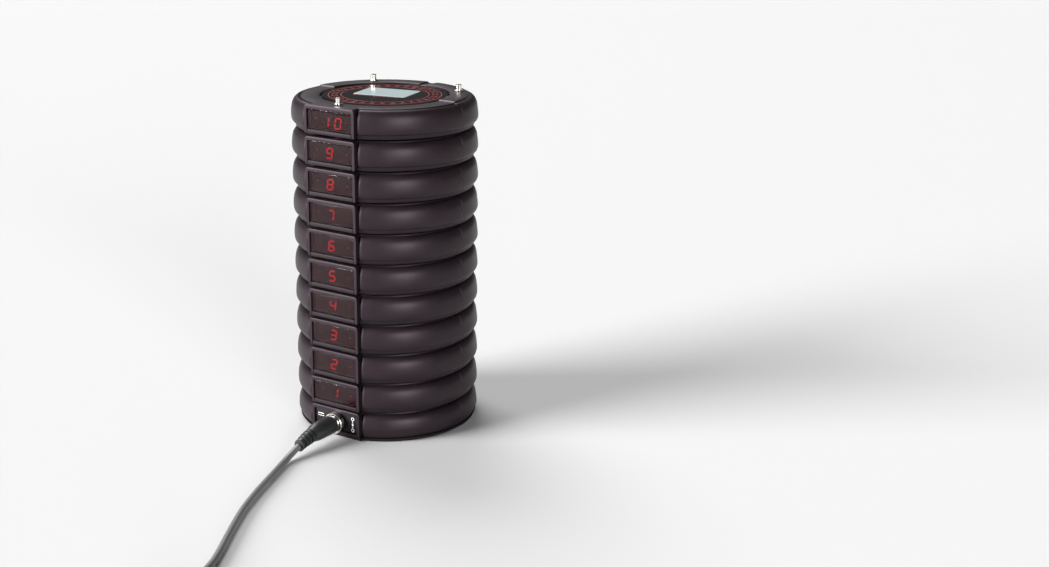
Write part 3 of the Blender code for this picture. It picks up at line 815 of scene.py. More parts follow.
@dataclass(frozen=True)
class ShellShape:
    """Section of a cover at every angle of the outline."""

    outline: Outline = field(default_factory=Outline)
    heights: ShellHeights = field(default_factory=ShellHeights)

    def bumper(self) -> Section:
        """Front bumper: the deck's rounded edge, a narrow groove, then the soft bulge down to the parting
        line."""
        top, low, taper = self.heights.deck, self.heights.wall_bottom, self.heights.foot_taper
        return [
            (42.3, top), (42.75, top - 0.12), (43.0, top - 0.5), (43.12, top - 1.0), (43.35, top - 1.2),
            (43.62, top - 1.05), (43.95, top - 0.65), (44.6, top - 0.45), (45.4, top - 0.75),
            (46.15, top - 1.4),
            (46.8, top - 2.35), (47.3, top - 3.5), (47.7, top - 5.1), (47.93, top - 7.0), (48.0, top - 9.0),
            (47.9 - taper, low + 1.5), (47.55 - taper, low + 0.45), (47.25 - taper, low),
        ]

    def rear_bumper(self) -> Section:
        """Rear bumper: a small step under the raised deck, then a flatter bulge."""
        top, low, taper = self.heights.deck, self.heights.wall_bottom, self.heights.foot_taper
        high = self.heights.raised_deck
        return [
            (42.3, high), (42.75, high - 0.1), (42.98, high - 0.38), (43.06, high - 0.75),
            (43.25, high - 0.9),
            (43.6, top - 0.16), (44.0, top - 0.2), (44.7, top - 0.38), (45.4, top - 0.75), (46.1, top - 1.4),
            (46.7, top - 2.4), (47.15, top - 3.6), (47.42, top - 5.2), (47.65, top - 7.1), (47.85, top - 9.0),
            (47.85 - taper, low + 1.5), (47.5 - taper, low + 0.45), (47.2 - taper, low),
        ]

    def groove(self) -> Section:
        """Floor of the upright grooves beside the block and at the back."""
        top, low, taper = self.heights.deck, self.heights.wall_bottom, self.heights.foot_taper
        return [
            (42.3, top), (42.75, top - 0.12), (43.0, top - 0.5), (43.1, top - 0.9), (43.2, top - 1.2),
            (43.4, top - 1.5), (43.7, top - 1.8), (44.2, top - 2.1), (44.7, top - 2.4), (45.2, top - 2.8),
            (45.7, top - 3.3), (46.1, top - 4.1), (46.3, top - 5.1), (46.4, top - 6.9), (46.4, top - 9.0),
            (46.4 - taper, low + 1.5), (46.4 - taper, low + 0.45), (46.3 - taper, low),
        ]

    def block(self, angle: float) -> Section:
        """Display block: the deck runs out to a crisp front face with round upper corners."""
        face = self.outline.facet_depth
        top, deck, low = self.heights.block_top, self.heights.deck, self.heights.block_bottom
        side = abs(facet(angle, face) * math.sin(math.radians(angle)))
        half = facet(self.outline.block_edge, face) * math.sin(math.radians(self.outline.block_edge))
        corner = 1.5
        past = max(0.0, side - half + corner)
        drop = corner - math.sqrt(max(0.0, corner ** 2 - past ** 2))
        inset = 0.2 * smooth_step((abs(angle) - 18.3) / 0.25)
        depths = [
            (face - 2.0, top), (face - 1.4, top), (face - 0.8, top), (face - 0.5, top),
            (face - 0.3, top - 0.04),
            (face - 0.15, top - 0.12), (face - 0.05, top - 0.25), (face, top - 0.45), (face, top - 1.2),
            (face, top - 2.5), (face, top - 4.9), (face, top - 6.9), (face, top - 9.0), (face, low + 1.4),
            (face - 0.04, low + 0.15), (face - 0.15, low),
        ]
        rows = []
        for depth, height in depths:
            lowered = height - drop if height > low + 2.0 else height
            rows.append((facet(angle, depth) - inset, min(lowered, height)))
        return [(42.3, deck), (42.9, (deck + top) / 2.0)] + rows

    def section(self, angle: float) -> Section:
        """Whole section at an angle, from the middle of the badge recess to the middle of the ceiling."""
        size = abs(angle)
        shell = self.outline
        rear = shell.rear(angle)
        deck = self.heights.deck + (self.heights.raised_deck - self.heights.deck) * rear
        low = self.heights.wall_bottom
        inner = shell.wall_inner
        if size <= shell.block_edge:
            rim = self.block(angle)
            low = self.heights.block_bottom
            inner = min(inner, facet(angle, shell.facet_inner))
        else:
            rim = mix(self.groove(), mix(self.bumper(), self.rear_bumper(), rear), shell.bulge(angle))
            rim = [(radius - shell.seam(angle) * (1.0 if radius > 43.9 else 0.0), z) for radius, z in rim]
        floor = self.heights.recess_floor
        edge = shell.recess_radius
        top = [(0.0, floor), (edge, floor), (edge, deck - 0.55), (edge + 0.25, deck - 0.18)]
        top += [(edge + 0.75, deck), (38.5, deck)]
        return top + rim + [(inner, low), (inner, self.heights.ceiling), (0.0, self.heights.ceiling)]


def stud_matrix(angle: float) -> Matrix:
    """Translation to a contact stud's place on its circle."""
    x, y, _ = polar(STUD_CIRCLE, angle, 0.0)
    return Matrix.Translation((x, y, 0.0))


def contact_studs(name: str, bottom: float, decks: Sequence[float]) -> bpy.types.Mesh:
    """Three turned contact studs, each with its flange, waist and chamfered tip.

    Args:
        name: Name of the mesh.
        bottom: Height of the lower ends.
        decks: Deck height at each stud.

    Returns:
        One mesh with the three studs.
    """
    rise = [
        (1.5, 0.3), (2.25, 0.3), (2.4, 0.42), (2.4, 0.56), (2.25, 0.68), (1.5, 0.7), (1.5, 1.35),
        (1.36, 1.42),
        (1.36, 1.6), (1.5, 1.68), (1.5, 2.35), (1.36, 2.42), (1.36, 2.6), (1.5, 2.68), (1.5, 3.3),
        (1.3, 3.52),
        (0.95, 3.6), (0.0, 3.6),
    ]
    studs = []
    for angle, deck in zip(STUD_ANGLES, decks):
        section = [(0.0, bottom), (1.3, bottom), (1.5, bottom + 0.2)]
        section += [(radius, deck + height) for radius, height in rise]
        studs.append(lathe(name, section, 32, stud_matrix(angle)))
    return join(name, studs)


def cut_studs_and_opening(mesh: bpy.types.Mesh, opening: bpy.types.Mesh) -> bpy.types.Mesh:
    """Cover's mesh with its front opening and its three stud holes cut."""
    holes = [cylinder("hole", 1.9, 11.0, 17.0, 24, stud_matrix(angle)) for angle in STUD_ANGLES]
    return combine(mesh, [opening] + holes, "DIFFERENCE")


def contact_board(name: str, low: float, high: float) -> bpy.types.Mesh:
    """Round contact board with a straight front edge and softened rims."""

    def section(angle: float) -> Section:
        edge = 41.0
        if math.cos(math.radians(angle)) > 0.0:
            edge = min(edge, facet(angle, 40.2))
        rim = [(edge - 0.15, low), (edge, low + 0.1), (edge, high - 0.1), (edge - 0.15, high)]
        return [(0.0, low), *rim, (0.0, high)]

    return revolve(name, even_angles(90), section)


# --- Seven-segment digits ---


class Segment(Enum):
    """Bars of a seven-segment digit: centre in cell widths and heights, and whether the bar is upright."""

    TOP = (0.0, 0.5, False)
    UPPER_LEFT = (-0.5, 0.25, True)
    UPPER_RIGHT = (0.5, 0.25, True)
    MIDDLE = (0.0, 0.0, False)
    LOWER_LEFT = (-0.5, -0.25, True)
    LOWER_RIGHT = (0.5, -0.25, True)
    BOTTOM = (0.0, -0.5, False)


# Bars that stay dark in each digit.
DARK_BARS: dict[str, tuple[Segment, ...]] = {
    "0": (Segment.MIDDLE,),
    "1": (Segment.TOP, Segment.UPPER_LEFT, Segment.MIDDLE, Segment.LOWER_LEFT, Segment.BOTTOM),
    "2": (Segment.UPPER_LEFT, Segment.LOWER_RIGHT),
    "3": (Segment.UPPER_LEFT, Segment.LOWER_LEFT),
    "4": (Segment.TOP, Segment.LOWER_LEFT, Segment.BOTTOM),
    "5": (Segment.UPPER_RIGHT, Segment.LOWER_LEFT),
    "6": (Segment.UPPER_RIGHT,),
    "7": (Segment.UPPER_LEFT, Segment.MIDDLE, Segment.LOWER_LEFT, Segment.BOTTOM),
    "8": (),
    "9": (Segment.LOWER_LEFT,),
}


@dataclass(frozen=True)
class DigitCell:
    """Size of one slanted digit on the display's face."""

    width: float = 3.4
    height: float = 5.1
    bar: float = 0.8
    slant: float = 0.16
    face: float = 43.92
    thickness: float = 0.1

    def bars(self, text: str, centre_x: float, centre_z: float) -> list[bpy.types.Mesh]:
        """Meshes of the lit bars of one digit.

        Args:
            text: The digit.
            centre_x: Middle of the cell across the window.
            centre_z: Middle of the cell above the seat plane.

        Returns:
            One solid bar with pointed ends for each lit segment.
        """
        meshes = []
        for segment in Segment:
            if segment in DARK_BARS[text]:
                continue
            across, up, upright = segment.value
            run = (self.height / 2.0 if upright else self.width) / 2.0 - 0.12
            half = self.bar / 2.0
            flat = run - half
            outline = [(-run, 0.0), (-flat, half), (flat, half), (run, 0.0), (flat, -half), (-flat, -half)]
            points = []
            for along, side in outline:
                x = across * self.width + (side if upright else along)
                z = up * self.height + (along if upright else side)
                points.append((centre_x + x + z * self.slant, centre_z + z))
            mesh = extrude("bar", points, 0.0, self.thickness)
            mesh.transform(Matrix.Rotation(math.pi / 2.0, 4, "X"))
            mesh.transform(shift(0.0, self.thickness - self.face, 0.0))
            meshes.append(mesh)
        return meshes


# --- The pagers ---


@dataclass
class PagerParts:
    """Meshes that every pager shares, built once at a seat plane of z = 0."""

    shape: ShellShape = field(default_factory=ShellShape)
    opening_half: float = 14.0
    opening_top: float = 13.1
    gap: float = 0.3
    tongue_top: float = 2.8
    underside: float = 0.3
    floor_top: float = 1.9
    wall_top: float = 2.6
    board: tuple[float, float] = (9.0, 10.2)
    stud_bottom: float = 4.3

    def cover(self) -> bpy.types.Mesh:
        """Cover with its display opening and stud holes."""
        mesh = revolve("cover", self.shape.outline.angles(), self.shape.section)
        half = self.opening_half
        return cut_studs_and_opening(
            mesh, box("opening", (-half, -47.2, -1.5), (half, -41.8, self.opening_top), 0.4)
        )

    def case_section(self, angle: float) -> Section:
        """Section of the bottom case, which steps back behind the display block."""
        low, top, floor = self.underside, self.wall_top, self.floor_top
        if abs(angle) <= self.shape.outline.groove_end:
            outer, inner = min(facet(angle, 42.9) - 0.05, 44.7), facet(angle, 41.4)
            rim = [
                (outer - 1.0, low), (outer - 0.3, low), (outer - 0.1, low + 0.1), (outer, low + 0.3),
                (outer, 1.5),
            ]
            rim += [(outer, 2.1), (outer, top - 0.1), (outer - 0.1, top), (inner, top), (inner, floor)]
        else:
            rim = [(45.1, low), (45.4, low + 0.03), (45.6, low + 0.15), (45.75, low + 0.4), (45.9, 1.3)]
            rim += [(46.05, 2.0), (46.15, top - 0.12), (46.05, top), (43.2, top), (43.2, floor)]
        return [(0.0, low), (34.0, low)] + rim + [(0.0, floor)]

    def case(self, with_switch: bool) -> bpy.types.Mesh:
        """Bottom case with the window's lower bar, the contact wells and the underside's details.

        Args:
            with_switch: Whether the slot of the power switch is cut.

        Returns:
            The case's mesh.
        """
        mesh = revolve("case", self.shape.outline.angles(), self.case_section)
        half = self.opening_half - self.gap
        bar = box("bar", (-half, -46.2, 0.8), (half, -41.9, self.tongue_top), 0.18)
        mesh = combine(mesh, [bar], "UNION")
        cuts = [cylinder("well", 3.7, -1.0, 2.9, 40, stud_matrix(angle)) for angle in STUD_ANGLES]
        cuts.append(cylinder("label", 21.0, -1.0, self.underside + 0.25, 96))
        for k in range(4):
            cuts.append(cylinder("screw", 2.3, -1.0, 1.5, 24, Matrix.Translation(polar(28.0, 90.0 * k, 0.0))))
        if with_switch:
            cuts.append(box("slot", (-15.9, 21.7, -1.0), (-8.1, 26.3, 3.0)))
        return combine(mesh, cuts, "DIFFERENCE")

    def pane(self) -> bpy.types.Mesh:
        """Smoked pane, set back behind the frame."""
        half = self.opening_half - self.gap
        low, high = self.tongue_top + self.gap, self.opening_top - self.gap
        return box("pane", (-half, -45.7, low), (half, -44.3, high), 0.15)

    def module(self) -> bpy.types.Mesh:
        """Black display module behind the pane."""
        return box("module", (-12.4, -43.8, 3.3), (12.4, -42.2, 12.2), 0.15)

    def badge(self) -> bpy.types.Mesh:
        """Badge disc with a softened edge and a pocket for its pane."""
        section = [(0.0, 14.0), (32.1, 14.0), (32.3, 14.15), (32.3, 14.85), (32.15, 15.0), (0.0, 15.0)]
        disc = lathe("badge", section, 160)
        pocket = extrude("pocket", rounded_rectangle(14.75, 10.75, 0.9), 14.5, 16.0)
        pocket.transform(self.pane_turn())
        return combine(disc, [pocket], "DIFFERENCE")

    def pane_turn(self) -> Matrix:
        """Place of the badge's pane: a little off centre and turned."""
        return shift(-2.6, 5.2, 0.0) @ Matrix.Rotation(math.radians(12.0), 4, "Z")

    def badge_pane(self) -> bpy.types.Mesh:
        """Pale pane in the badge."""
        mesh = extrude("badge pane", rounded_rectangle(14.4, 10.4, 0.7), 14.8, 15.1)
        mesh.transform(self.pane_turn())
        return mesh

    def badge_marks(self, marks: MarkRing) -> bpy.types.Mesh:
        """Printed rings, tick marks and a rule line on the badge."""
        low, high = 14.99, 15.03
        rings = []
        for inner, outer in ((28.7, 29.2), (22.3, 22.75)):
            rings.append(lathe("ring", [(inner, low), (outer, low), (outer, high), (inner, high)], 160))
        rows = ((32, 27.0, 2.7, 0.5), (32, 24.6, 2.4, 0.5), (32, 25.8, 0.55, 2.0))
        for count, radius, length, width in rows:
            values = {
                "Count": count, "Radius": radius, "Length": length, "Width": width, "Thickness": high - low
            }
            grown = marks.grow("ticks", Finishes.badge_red, values)
            grown.transform(shift(0.0, 0.0, (low + high) / 2.0))
            rings.append(grown)
        rule = box("rule", (-13.5, -12.7, low), (11.5, -12.15, high))
        rule.transform(self.pane_turn())
        rings.append(rule)
        return join("badge marks", rings)

    def digits(self, number: int) -> bpy.types.Mesh:
        """Lit digits of a pager's number."""
        cell = DigitCell()
        text = str(number)
        middle, places = (7.25, (-1.75,)) if len(text) == 1 else (6.9, (-3.6, 3.9))
        bars = []
        for digit, place in zip(text, places):
            bars += cell.bars(digit, place, middle)
        return join("digits", bars)

    def indicators(self) -> bpy.types.Mesh:
        """Two small indicator lights beside the digits."""
        lights = []
        for x, z in ((-9.8, 8.2), (8.9, 7.7)):
            matrix = Matrix.Translation((x, -43.82, z)) @ Matrix.Rotation(math.pi / 2.0, 4, "X")
            lights.append(lathe("light", [(0.0, 0.0), (0.34, 0.0), (0.28, 0.12), (0.0, 0.18)], 16, matrix))
        return join("indicators", lights)

    def screws(self, screws: ScrewCircle) -> bpy.types.Mesh:
        """Four screw heads in the underside's wells."""
        values = {"Count": 4, "Radius": 28.0, "Head Radius": 2.0, "Head Height": 0.9}
        mesh = screws.grow("screws", Finishes.steel, values)
        mesh.transform(shift(0.0, 0.0, 1.0))
        return mesh


@dataclass
class PagerStack:
    """The ten pagers, from 01 on the base to 10 on top."""

    count: int = 10
    pitch: float = 15.8
    first_seat: float = 15.6
    parts: PagerParts = field(default_factory=PagerParts)

    def build(self) -> None:
        """Build every pager's pieces and place them."""
        marks = MarkRing()
        screws = ScrewCircle()
        parts = self.parts
        heights = parts.shape.heights
        decks = (heights.deck, heights.raised_deck, heights.raised_deck)
        shared: list[tuple[str, bpy.types.Mesh, Finish, str, str]] = [
            ("cover_shell", parts.cover(), Finishes.body, "body_plastic", "cover"),
            ("pane", parts.pane(), Finishes.pane, "smoked_window", "window"),
            ("studs", contact_studs("studs", parts.stud_bottom, decks), Finishes.nickel, "nickel", "board"),
            ("contact_board", contact_board("board", *parts.board), Finishes.board, "circuit_board", "board"),
            ("display_module", parts.module(), Finishes.module, "display", "display"),
            ("indicators", parts.indicators(), Finishes.indicator, "display", ""),
            ("badge_disc", parts.badge(), Finishes.badge, "badge_print", "badge"),
            ("badge_marks", parts.badge_marks(marks), Finishes.badge_red, "badge_print", ""),
            ("badge_glass", parts.badge_pane(), Finishes.badge_pane, "badge_pane", "badge_pane"),
            ("case_screws", parts.screws(screws), Finishes.steel, "steel", ""),
        ]
        case = parts.case(False)
        for number in range(1, self.count + 1):
            body = f"pager_{number:02d}"
            seat = self.first_seat + self.pitch * (number - 1)
            top = number == self.count
            for label, mesh, finish, slot, node in shared:
                exists = node in ("cover", "window", "board") or (top and node != "")
                nodes = (f"{body}_{node}",) if exists else ()
                Piece(f"{body}_{label}", moved(mesh, seat), finish, body, slot, nodes).place()
            tray = parts.case(True) if top else case
            nodes = (f"{body}_case",)
            # The tray takes the darker case finish, which is painted shade.
            Piece(f"{body}_case_tray", moved(tray, seat), Finishes.case, body, "body_plastic", nodes).place()
            digits = moved(parts.digits(number), seat)
            Piece(f"{body}_digits", digits, Finishes.segment, body, "display").place()
        self.dress_top_inside()

    def dress_top_inside(self) -> None:
        """Dress the top pager's sealed pieces, which keep their CAD shapes, and build its switch."""
        steel, black = Finishes.steel, Finishes.black
        dressed = {"battery": Finishes.pouch, "motor": steel, "motor_weight": steel, "buzzer": black}
        for node, finish in dressed.items():
            for slot in bpy.data.objects[f"pager_10_{node}"].material_slots:
                slot.material = finish.make()
        seat = self.first_seat + self.pitch * (self.count - 1)
        knob = box("knob", (-15.5, 22.0, 0.6), (-11.5, 26.0, 2.6), 0.3)
        slider = box("slider", (-18.0, 21.2, 2.3), (-9.0, 26.8, 3.4), 0.15)
        grip = [
            box("rib", (-15.0 + 0.9 * k, 22.4, 0.45), (-14.6 + 0.9 * k, 25.6, 0.75), 0.08) for k in range(4)
        ]
        switch = join("switch", [combine(knob, [slider], "UNION")] + grip)
        nodes = ("pager_10_power_switch",)
        Piece(
            "pager_10_switch_knob", moved(switch, seat), black, "switch_slider", "black_plastic", nodes
        ).place()


# --- The charging base ---


def along_front() -> Matrix:
    """Placement that lays a turned section along -Y through the socket's centre, in millimetres."""
    return Matrix.Translation((SOCKET_X, 0.0, SOCKET_Z)) @ Matrix.Rotation(math.pi / 2.0, 4, "X")


def base_heights() -> ShellHeights:
    """Heights of the base's cover."""
    tops = {"deck": 14.9, "raised_deck": 15.5, "recess_floor": 13.8, "block_top": 15.4}
    return ShellHeights(block_bottom=2.2, wall_bottom=2.2, foot_taper=0.8, **tops)


@dataclass
class ChargingBase:
    """The base: cover, foot, front panel with its socket, and the contact board."""

    body: str = "charging_base"
    shape: ShellShape = field(default_factory=lambda: ShellShape(heights=base_heights()))

    def cover(self) -> bpy.types.Mesh:
        """Base cover with its panel opening and stud holes."""
        mesh = revolve("base cover", self.shape.outline.angles(), self.shape.section)
        return cut_studs_and_opening(mesh, box("opening", (-13.8, -47.2, 3.4), (13.8, -43.0, 13.4), 0.4))

    def plate(self) -> bpy.types.Mesh:
        """Foot with a rounded lower edge."""

        def section(angle: float) -> Section:
            foot, top = 46.0, 47.2
            if abs(angle) <= self.shape.outline.groove_end:
                foot, top = facet(angle, 44.8), facet(angle, 45.8)
            return [
                (0.0, 0.0), (foot - 0.4, 0.0), (foot, 0.15), (top - 0.2, 1.6), (top - 0.1, 1.9), (0.0, 1.9)
            ]

        mesh = revolve("plate", self.shape.outline.angles(), section)
        wells = [cylinder("well", 4.2, -1.0, 0.5, 32, place) for place in self.foot_places()]
        return combine(mesh, wells, "DIFFERENCE")

    def foot_places(self) -> list[Matrix]:
        """Placements of the four rubber feet, in millimetres."""
        return [Matrix.Translation(polar(36.0, 45.0 + 90.0 * k, 0.0)) for k in range(4)]

    def feet(self) -> bpy.types.Mesh:
        """Four rubber pads in the foot's wells."""
        section = [(0.0, 0.0), (3.6, 0.0), (3.9, 0.1), (3.9, 0.45), (0.0, 0.45)]
        return join("feet", [lathe("pad", section, 32, place) for place in self.foot_places()])

    def panel(self) -> bpy.types.Mesh:
        """Front panel with the socket's hole."""
        panel = box("panel", (-13.5, -45.2, 3.7), (13.5, -43.6, 13.1), 0.15)
        return combine(panel, [cylinder("hole", 4.3, 42.0, 46.0, 48, along_front())], "DIFFERENCE")

    def print_marks(self) -> bpy.types.Mesh:
        """Direct-current sign at the left and a polarity column at the right, in raised ink."""
        front, back = -45.24, -45.18
        marks = [box("line", (-12.0, front, 10.2), (-8.2, back, 10.65))]
        marks += [box("dash", (-12.0 + 1.4 * k, front, 9.0), (-11.0 + 1.4 * k, back, 9.45)) for k in range(3)]
        for z, inner in ((11.4, 0.62), (8.3, 0.0), (5.2, 0.62)):
            matrix = Matrix.Translation((10.6, 0.0, z)) @ Matrix.Rotation(math.pi / 2.0, 4, "X")
            if inner > 0.0:
                section = [(inner, -back), (0.95, -back), (0.95, -front), (inner, -front)]
            else:
                section = [(0.0, -back), (0.55, -back), (0.55, -front), (0.0, -front)]
            marks.append(lathe("mark", section, 32, matrix))
        marks.append(box("stem", (10.45, front, 9.0), (10.75, back, 10.3)))
        marks.append(box("stem", (10.45, front, 6.3), (10.75, back, 7.6)))
        return join("print", marks)

    def socket(self, ribs: RibRow) -> bpy.types.Mesh:
        """Threaded socket barrel with its bore and centre pin."""
        section = [
            (0.0, 40.4), (3.75, 40.4), (3.75, 49.1), (3.5, 49.4), (3.2, 49.4), (3.1, 49.3), (3.1, 41.2),
            (1.0, 41.2), (1.0, 47.2), (0.7, 47.5), (0.0, 47.5),
        ]
        barrel = lathe("socket", section, 48, along_front())
        thread = ribs.row(Finishes.nickel, (11, 48), 0.7, (3.98, 3.98), 0.32, 41.6)
        thread = combine(thread, [cylinder("bore", 3.4, 38.6, 53.6, 48)], "DIFFERENCE")
        thread.transform(metres(along_front()))
        return join("socket", [barrel, thread])

    def nut(self) -> bpy.types.Mesh:
        """Ring nut with chamfered rims."""
        section = [
            (4.3, 46.7), (4.5, 46.5), (5.4, 46.5), (5.6, 46.7), (5.6, 48.9), (5.3, 49.2), (4.5, 49.2),
            (4.3, 49.0),
        ]
        return lathe("nut", section, 64, along_front())

    def build(self, ribs: RibRow) -> None:
        """Build the base's pieces and place them."""
        heights = self.shape.heights
        decks = (heights.deck, heights.raised_deck, heights.raised_deck)
        board = ("base_board",)
        rows = [
            ("base_shell", self.cover(), Finishes.body, "body_plastic", ("base_cover",)),
            # The foot plate takes the darker case finish, which is painted shade.
            ("base_foot_plate", self.plate(), Finishes.case, "black_plastic", ("base_plate",)),
            ("base_rubber_feet", self.feet(), Finishes.vinyl, "black_plastic", ()),
            ("base_front_panel", self.panel(), Finishes.black, "body_plastic", ("base_panel",)),
            ("base_panel_print", self.print_marks(), Finishes.white_ink, "badge_pane", ()),
            ("base_studs", contact_studs("studs", 2.6, decks), Finishes.nickel, "nickel", board),
            ("base_contact_board", contact_board("board", 2.6, 3.8), Finishes.board, "circuit_board", board),
            ("dc_socket_barrel", self.socket(ribs), Finishes.nickel, "nickel", ("dc_socket",)),
            ("dc_socket_ring", self.nut(), Finishes.nickel, "nickel", ("dc_socket_nut",)),
        ]
        for name, mesh, finish, slot, nodes in rows:
            Piece(name, mesh, finish, self.body, slot, nodes).place()


# --- The lead ---


def catmull_rom(points: Sequence[Vector], spacing: float) -> list[Vector]:
    """Points at an even spacing on the smooth curve through the given points.

    Args:
        points: Route of the curve in millimetres.
        spacing: Distance between the returned points.

    Returns:
        The points, first and last included.
    """
    padded = [points[0] * 2.0 - points[1], *points, points[-1] * 2.0 - points[-2]]
    dense: list[Vector] = []
    for a, b, c, d in zip(padded, padded[1:], padded[2:], padded[3:]):
        for step in range(20):
            t = step / 20.0
            cubic = (b * 3.0 - c * 3.0 + d - a) * t ** 3
            square = (a * 2.0 - b * 5.0 + c * 4.0 - d) * t ** 2
            dense.append((b * 2.0 + (c - a) * t + square + cubic) * 0.5)
    dense.append(points[-1].copy())
    lengths = [0.0]
    for before, after in zip(dense, dense[1:]):
        lengths.append(lengths[-1] + (after - before).length)
    count = max(2, round(lengths[-1] / spacing))
    even: list[Vector] = []
    index = 0
    for k in range(count + 1):
        wanted = lengths[-1] * k / count
        while index < len(lengths) - 2 and lengths[index + 1] < wanted:
            index += 1
        part = (wanted - lengths[index]) / max(1e-9, lengths[index + 1] - lengths[index])
        even.append(dense[index].lerp(dense[index + 1], part))
    return even


@dataclass
class DcLead:
    """The plug in the socket, the lead along the floor, its spare length coiled, and the USB plug."""

    body: str = "charging_base"
    radius: float = 1.75
    coil_centre: tuple[float, float] = (77.5, -219.5)
    coil_radius: float = 17.5
    coil_start: float = 190.0
    coil_bottom: float = 2.3
    usb_heading: float = 33.5
    usb_side: float = 7.0
    usb_axis: float = 11.5
    route: tuple[tuple[float, float, float], ...] = (
        (0.6, -76.7, 4.9), (0.65, -80.4, 3.65), (1.2, -84.6, 2.6), (2.4, -89.2, 1.98),
        (3.9, -93.8, 1.85), (5.5, -98.1, 1.85), (9.6, -109.6, 1.85), (13.6, -120.8, 1.85),
        (18.1, -132.3, 1.85), (22.5, -142.4, 1.85), (27.0, -151.3, 1.85), (31.9, -160.6, 1.85),
        (37.0, -169.9, 1.85), (42.1, -179.2, 1.85), (46.8, -188.6, 1.85), (50.2, -198.0, 1.85),
        (52.6, -207.2, 1.85),
    )

    def droop(self, distance: float) -> float:
        """Height of the plug's centre line at a distance in front of the stack's axis."""
        past = max(0.0, distance - 60.0)
        return SOCKET_Z - 0.0115 * past ** 2

    def bend(self, mesh: bpy.types.Mesh) -> bpy.types.Mesh:
        """Lay a turned shape along -Y and let it droop as the plug does."""
        mesh.transform(shift(SOCKET_X, 0.0, 0.0) @ Matrix.Rotation(math.pi / 2.0, 4, "X"))
        for vertex in mesh.vertices:
            vertex.co.z += self.droop(-vertex.co.y / MM) * MM
        return mesh

    def plug(self, ribs: RibRow) -> bpy.types.Mesh:
        """Moulded plug with a ribbed strain relief."""
        section = [
            (0.0, 50.0), (4.2, 50.0), (4.6, 50.2), (4.8, 50.8), (4.8, 54.0), (4.8, 58.0), (4.78, 60.5),
            (4.62, 62.5), (4.3, 64.3), (3.98, 65.6), (3.8, 66.3), (3.72, 66.9), (2.5, 67.0), (2.4, 70.0),
            (2.3, 73.0), (2.2, 75.6), (2.1, 76.0), (0.0, 76.0),
        ]
        body = self.bend(lathe("plug", section, 48))
        pitch = 2.32
        relief = ribs.row(Finishes.vinyl, (4, 40), pitch, (3.72, 3.1), 1.25, 68.4)
        spine = []
        for k in range(4):
            start = 66.8 + pitch * k
            for side in (-1.0, 1.0):
                low, high = sorted((side * 1.6, side * (3.3 - 0.15 * k)))
                corners_xy = ((low, -1.0), (high, 1.0)) if k % 2 == 0 else ((-1.0, low), (1.0, high))
                spine.append(box("spine", (*corners_xy[0], start), (*corners_xy[1], start + 1.3), 0.2))
        return join("plug", [body, self.bend(relief)] + [self.bend(part) for part in spine])

    def barrel(self) -> bpy.types.Mesh:
        """Nickel barrel of the plug."""
        section = [(1.3, 42.1), (1.5, 42.0), (2.6, 42.0), (2.75, 42.2), (2.75, 49.7), (1.3, 49.7)]
        return lathe("barrel", section, 32, along_front())

    def coil_offset(self, swept: float) -> Point2:
        """Place of the lead within the coil's cross-section at a swept angle.

        Four turns lie side by side on the floor, three rest in the hollows between them. Each change of place
        rolls the lead round the turn below it, and comes a little earlier than the change beneath.

        Args:
            swept: Degrees from the coil's polar zero, counted up over every turn.

        Returns:
            Offset from the mean radius and height above the floor.
        """
        step = 2.0 * self.radius + 0.15
        low = self.coil_bottom
        high = low + step * math.sqrt(3.0) / 2.0
        if swept < 4.0 * 360.0 + 85.0:
            offset = 1.5 * step
            for turn in range(1, 4):
                offset -= step * smooth_step((swept - (360.0 * turn + 140.0)) / 50.0)
            return (offset, low)
        rolls = (
            (4.0 * 360.0 + 85.0, 50.0, -0.5 * step, low, 180.0, 120.0),
            (5.0 * 360.0 + 30.0, 50.0, -0.5 * step, low, 120.0, 60.0),
            (6.0 * 360.0 - 25.0, 50.0, 0.5 * step, low, 120.0, 60.0),
            (6.0 * 360.0 + 145.0, 60.0, 0.0, high, 0.0, 90.0),
        )
        place = (-1.5 * step, low)
        for begin, width, pivot, pivot_height, from_turn, to_turn in rolls:
            if swept >= begin:
                share = smooth_step((swept - begin) / width)
                turn = math.radians(from_turn + (to_turn - from_turn) * share)
                place = (pivot + step * math.cos(turn), pivot_height + step * math.sin(turn))
        return place

    def coil_points(self) -> list[Vector]:
        """Turns of the coil and the last half turn that climbs inwards to the USB plug lying on them."""
        end = 6.0 * 360.0 + 270.0 + self.usb_heading
        leave = 6.0 * 360.0 + 185.0
        points = []
        swept = self.coil_start
        while swept < end - 1.0:
            across, height = self.coil_offset(swept)
            reach = self.coil_radius + across
            share = smooth_step((swept - leave) / (end - leave))
            reach += (self.usb_side - reach) * share
            height += (self.usb_axis - height) * share
            angle = math.radians(swept)
            x = self.coil_centre[0] + reach * math.cos(angle)
            y = self.coil_centre[1] + reach * math.sin(angle)
            points.append(Vector((x, y, height)))
            swept += 10.0
        return points

    def usb_frame(self) -> Matrix:
        """Frame of the USB plug in millimetres: its X is the plug's axis, towards the shell."""
        heading = math.radians(self.usb_heading)
        side = Vector((math.sin(heading), -math.cos(heading), 0.0)) * self.usb_side
        ahead = Vector((math.cos(heading), math.sin(heading), 0.0)) * 2.0
        origin = Vector((self.coil_centre[0], self.coil_centre[1], self.usb_axis)) + side + ahead
        return Matrix.Translation(origin) @ Matrix.Rotation(heading, 4, "Z")

    def cord_points(self) -> list[Vector]:
        """Whole centre line of the lead, from the plug to the USB plug, in millimetres."""
        run = [Vector(point) for point in self.route]
        coil = self.coil_points()
        middle = (run[-1] + coil[0]) / 2.0
        tail = [self.usb_frame() @ Vector((0.2, 0.0, 0.0))]
        return catmull_rom(run + [middle] + coil + tail, 2.2)

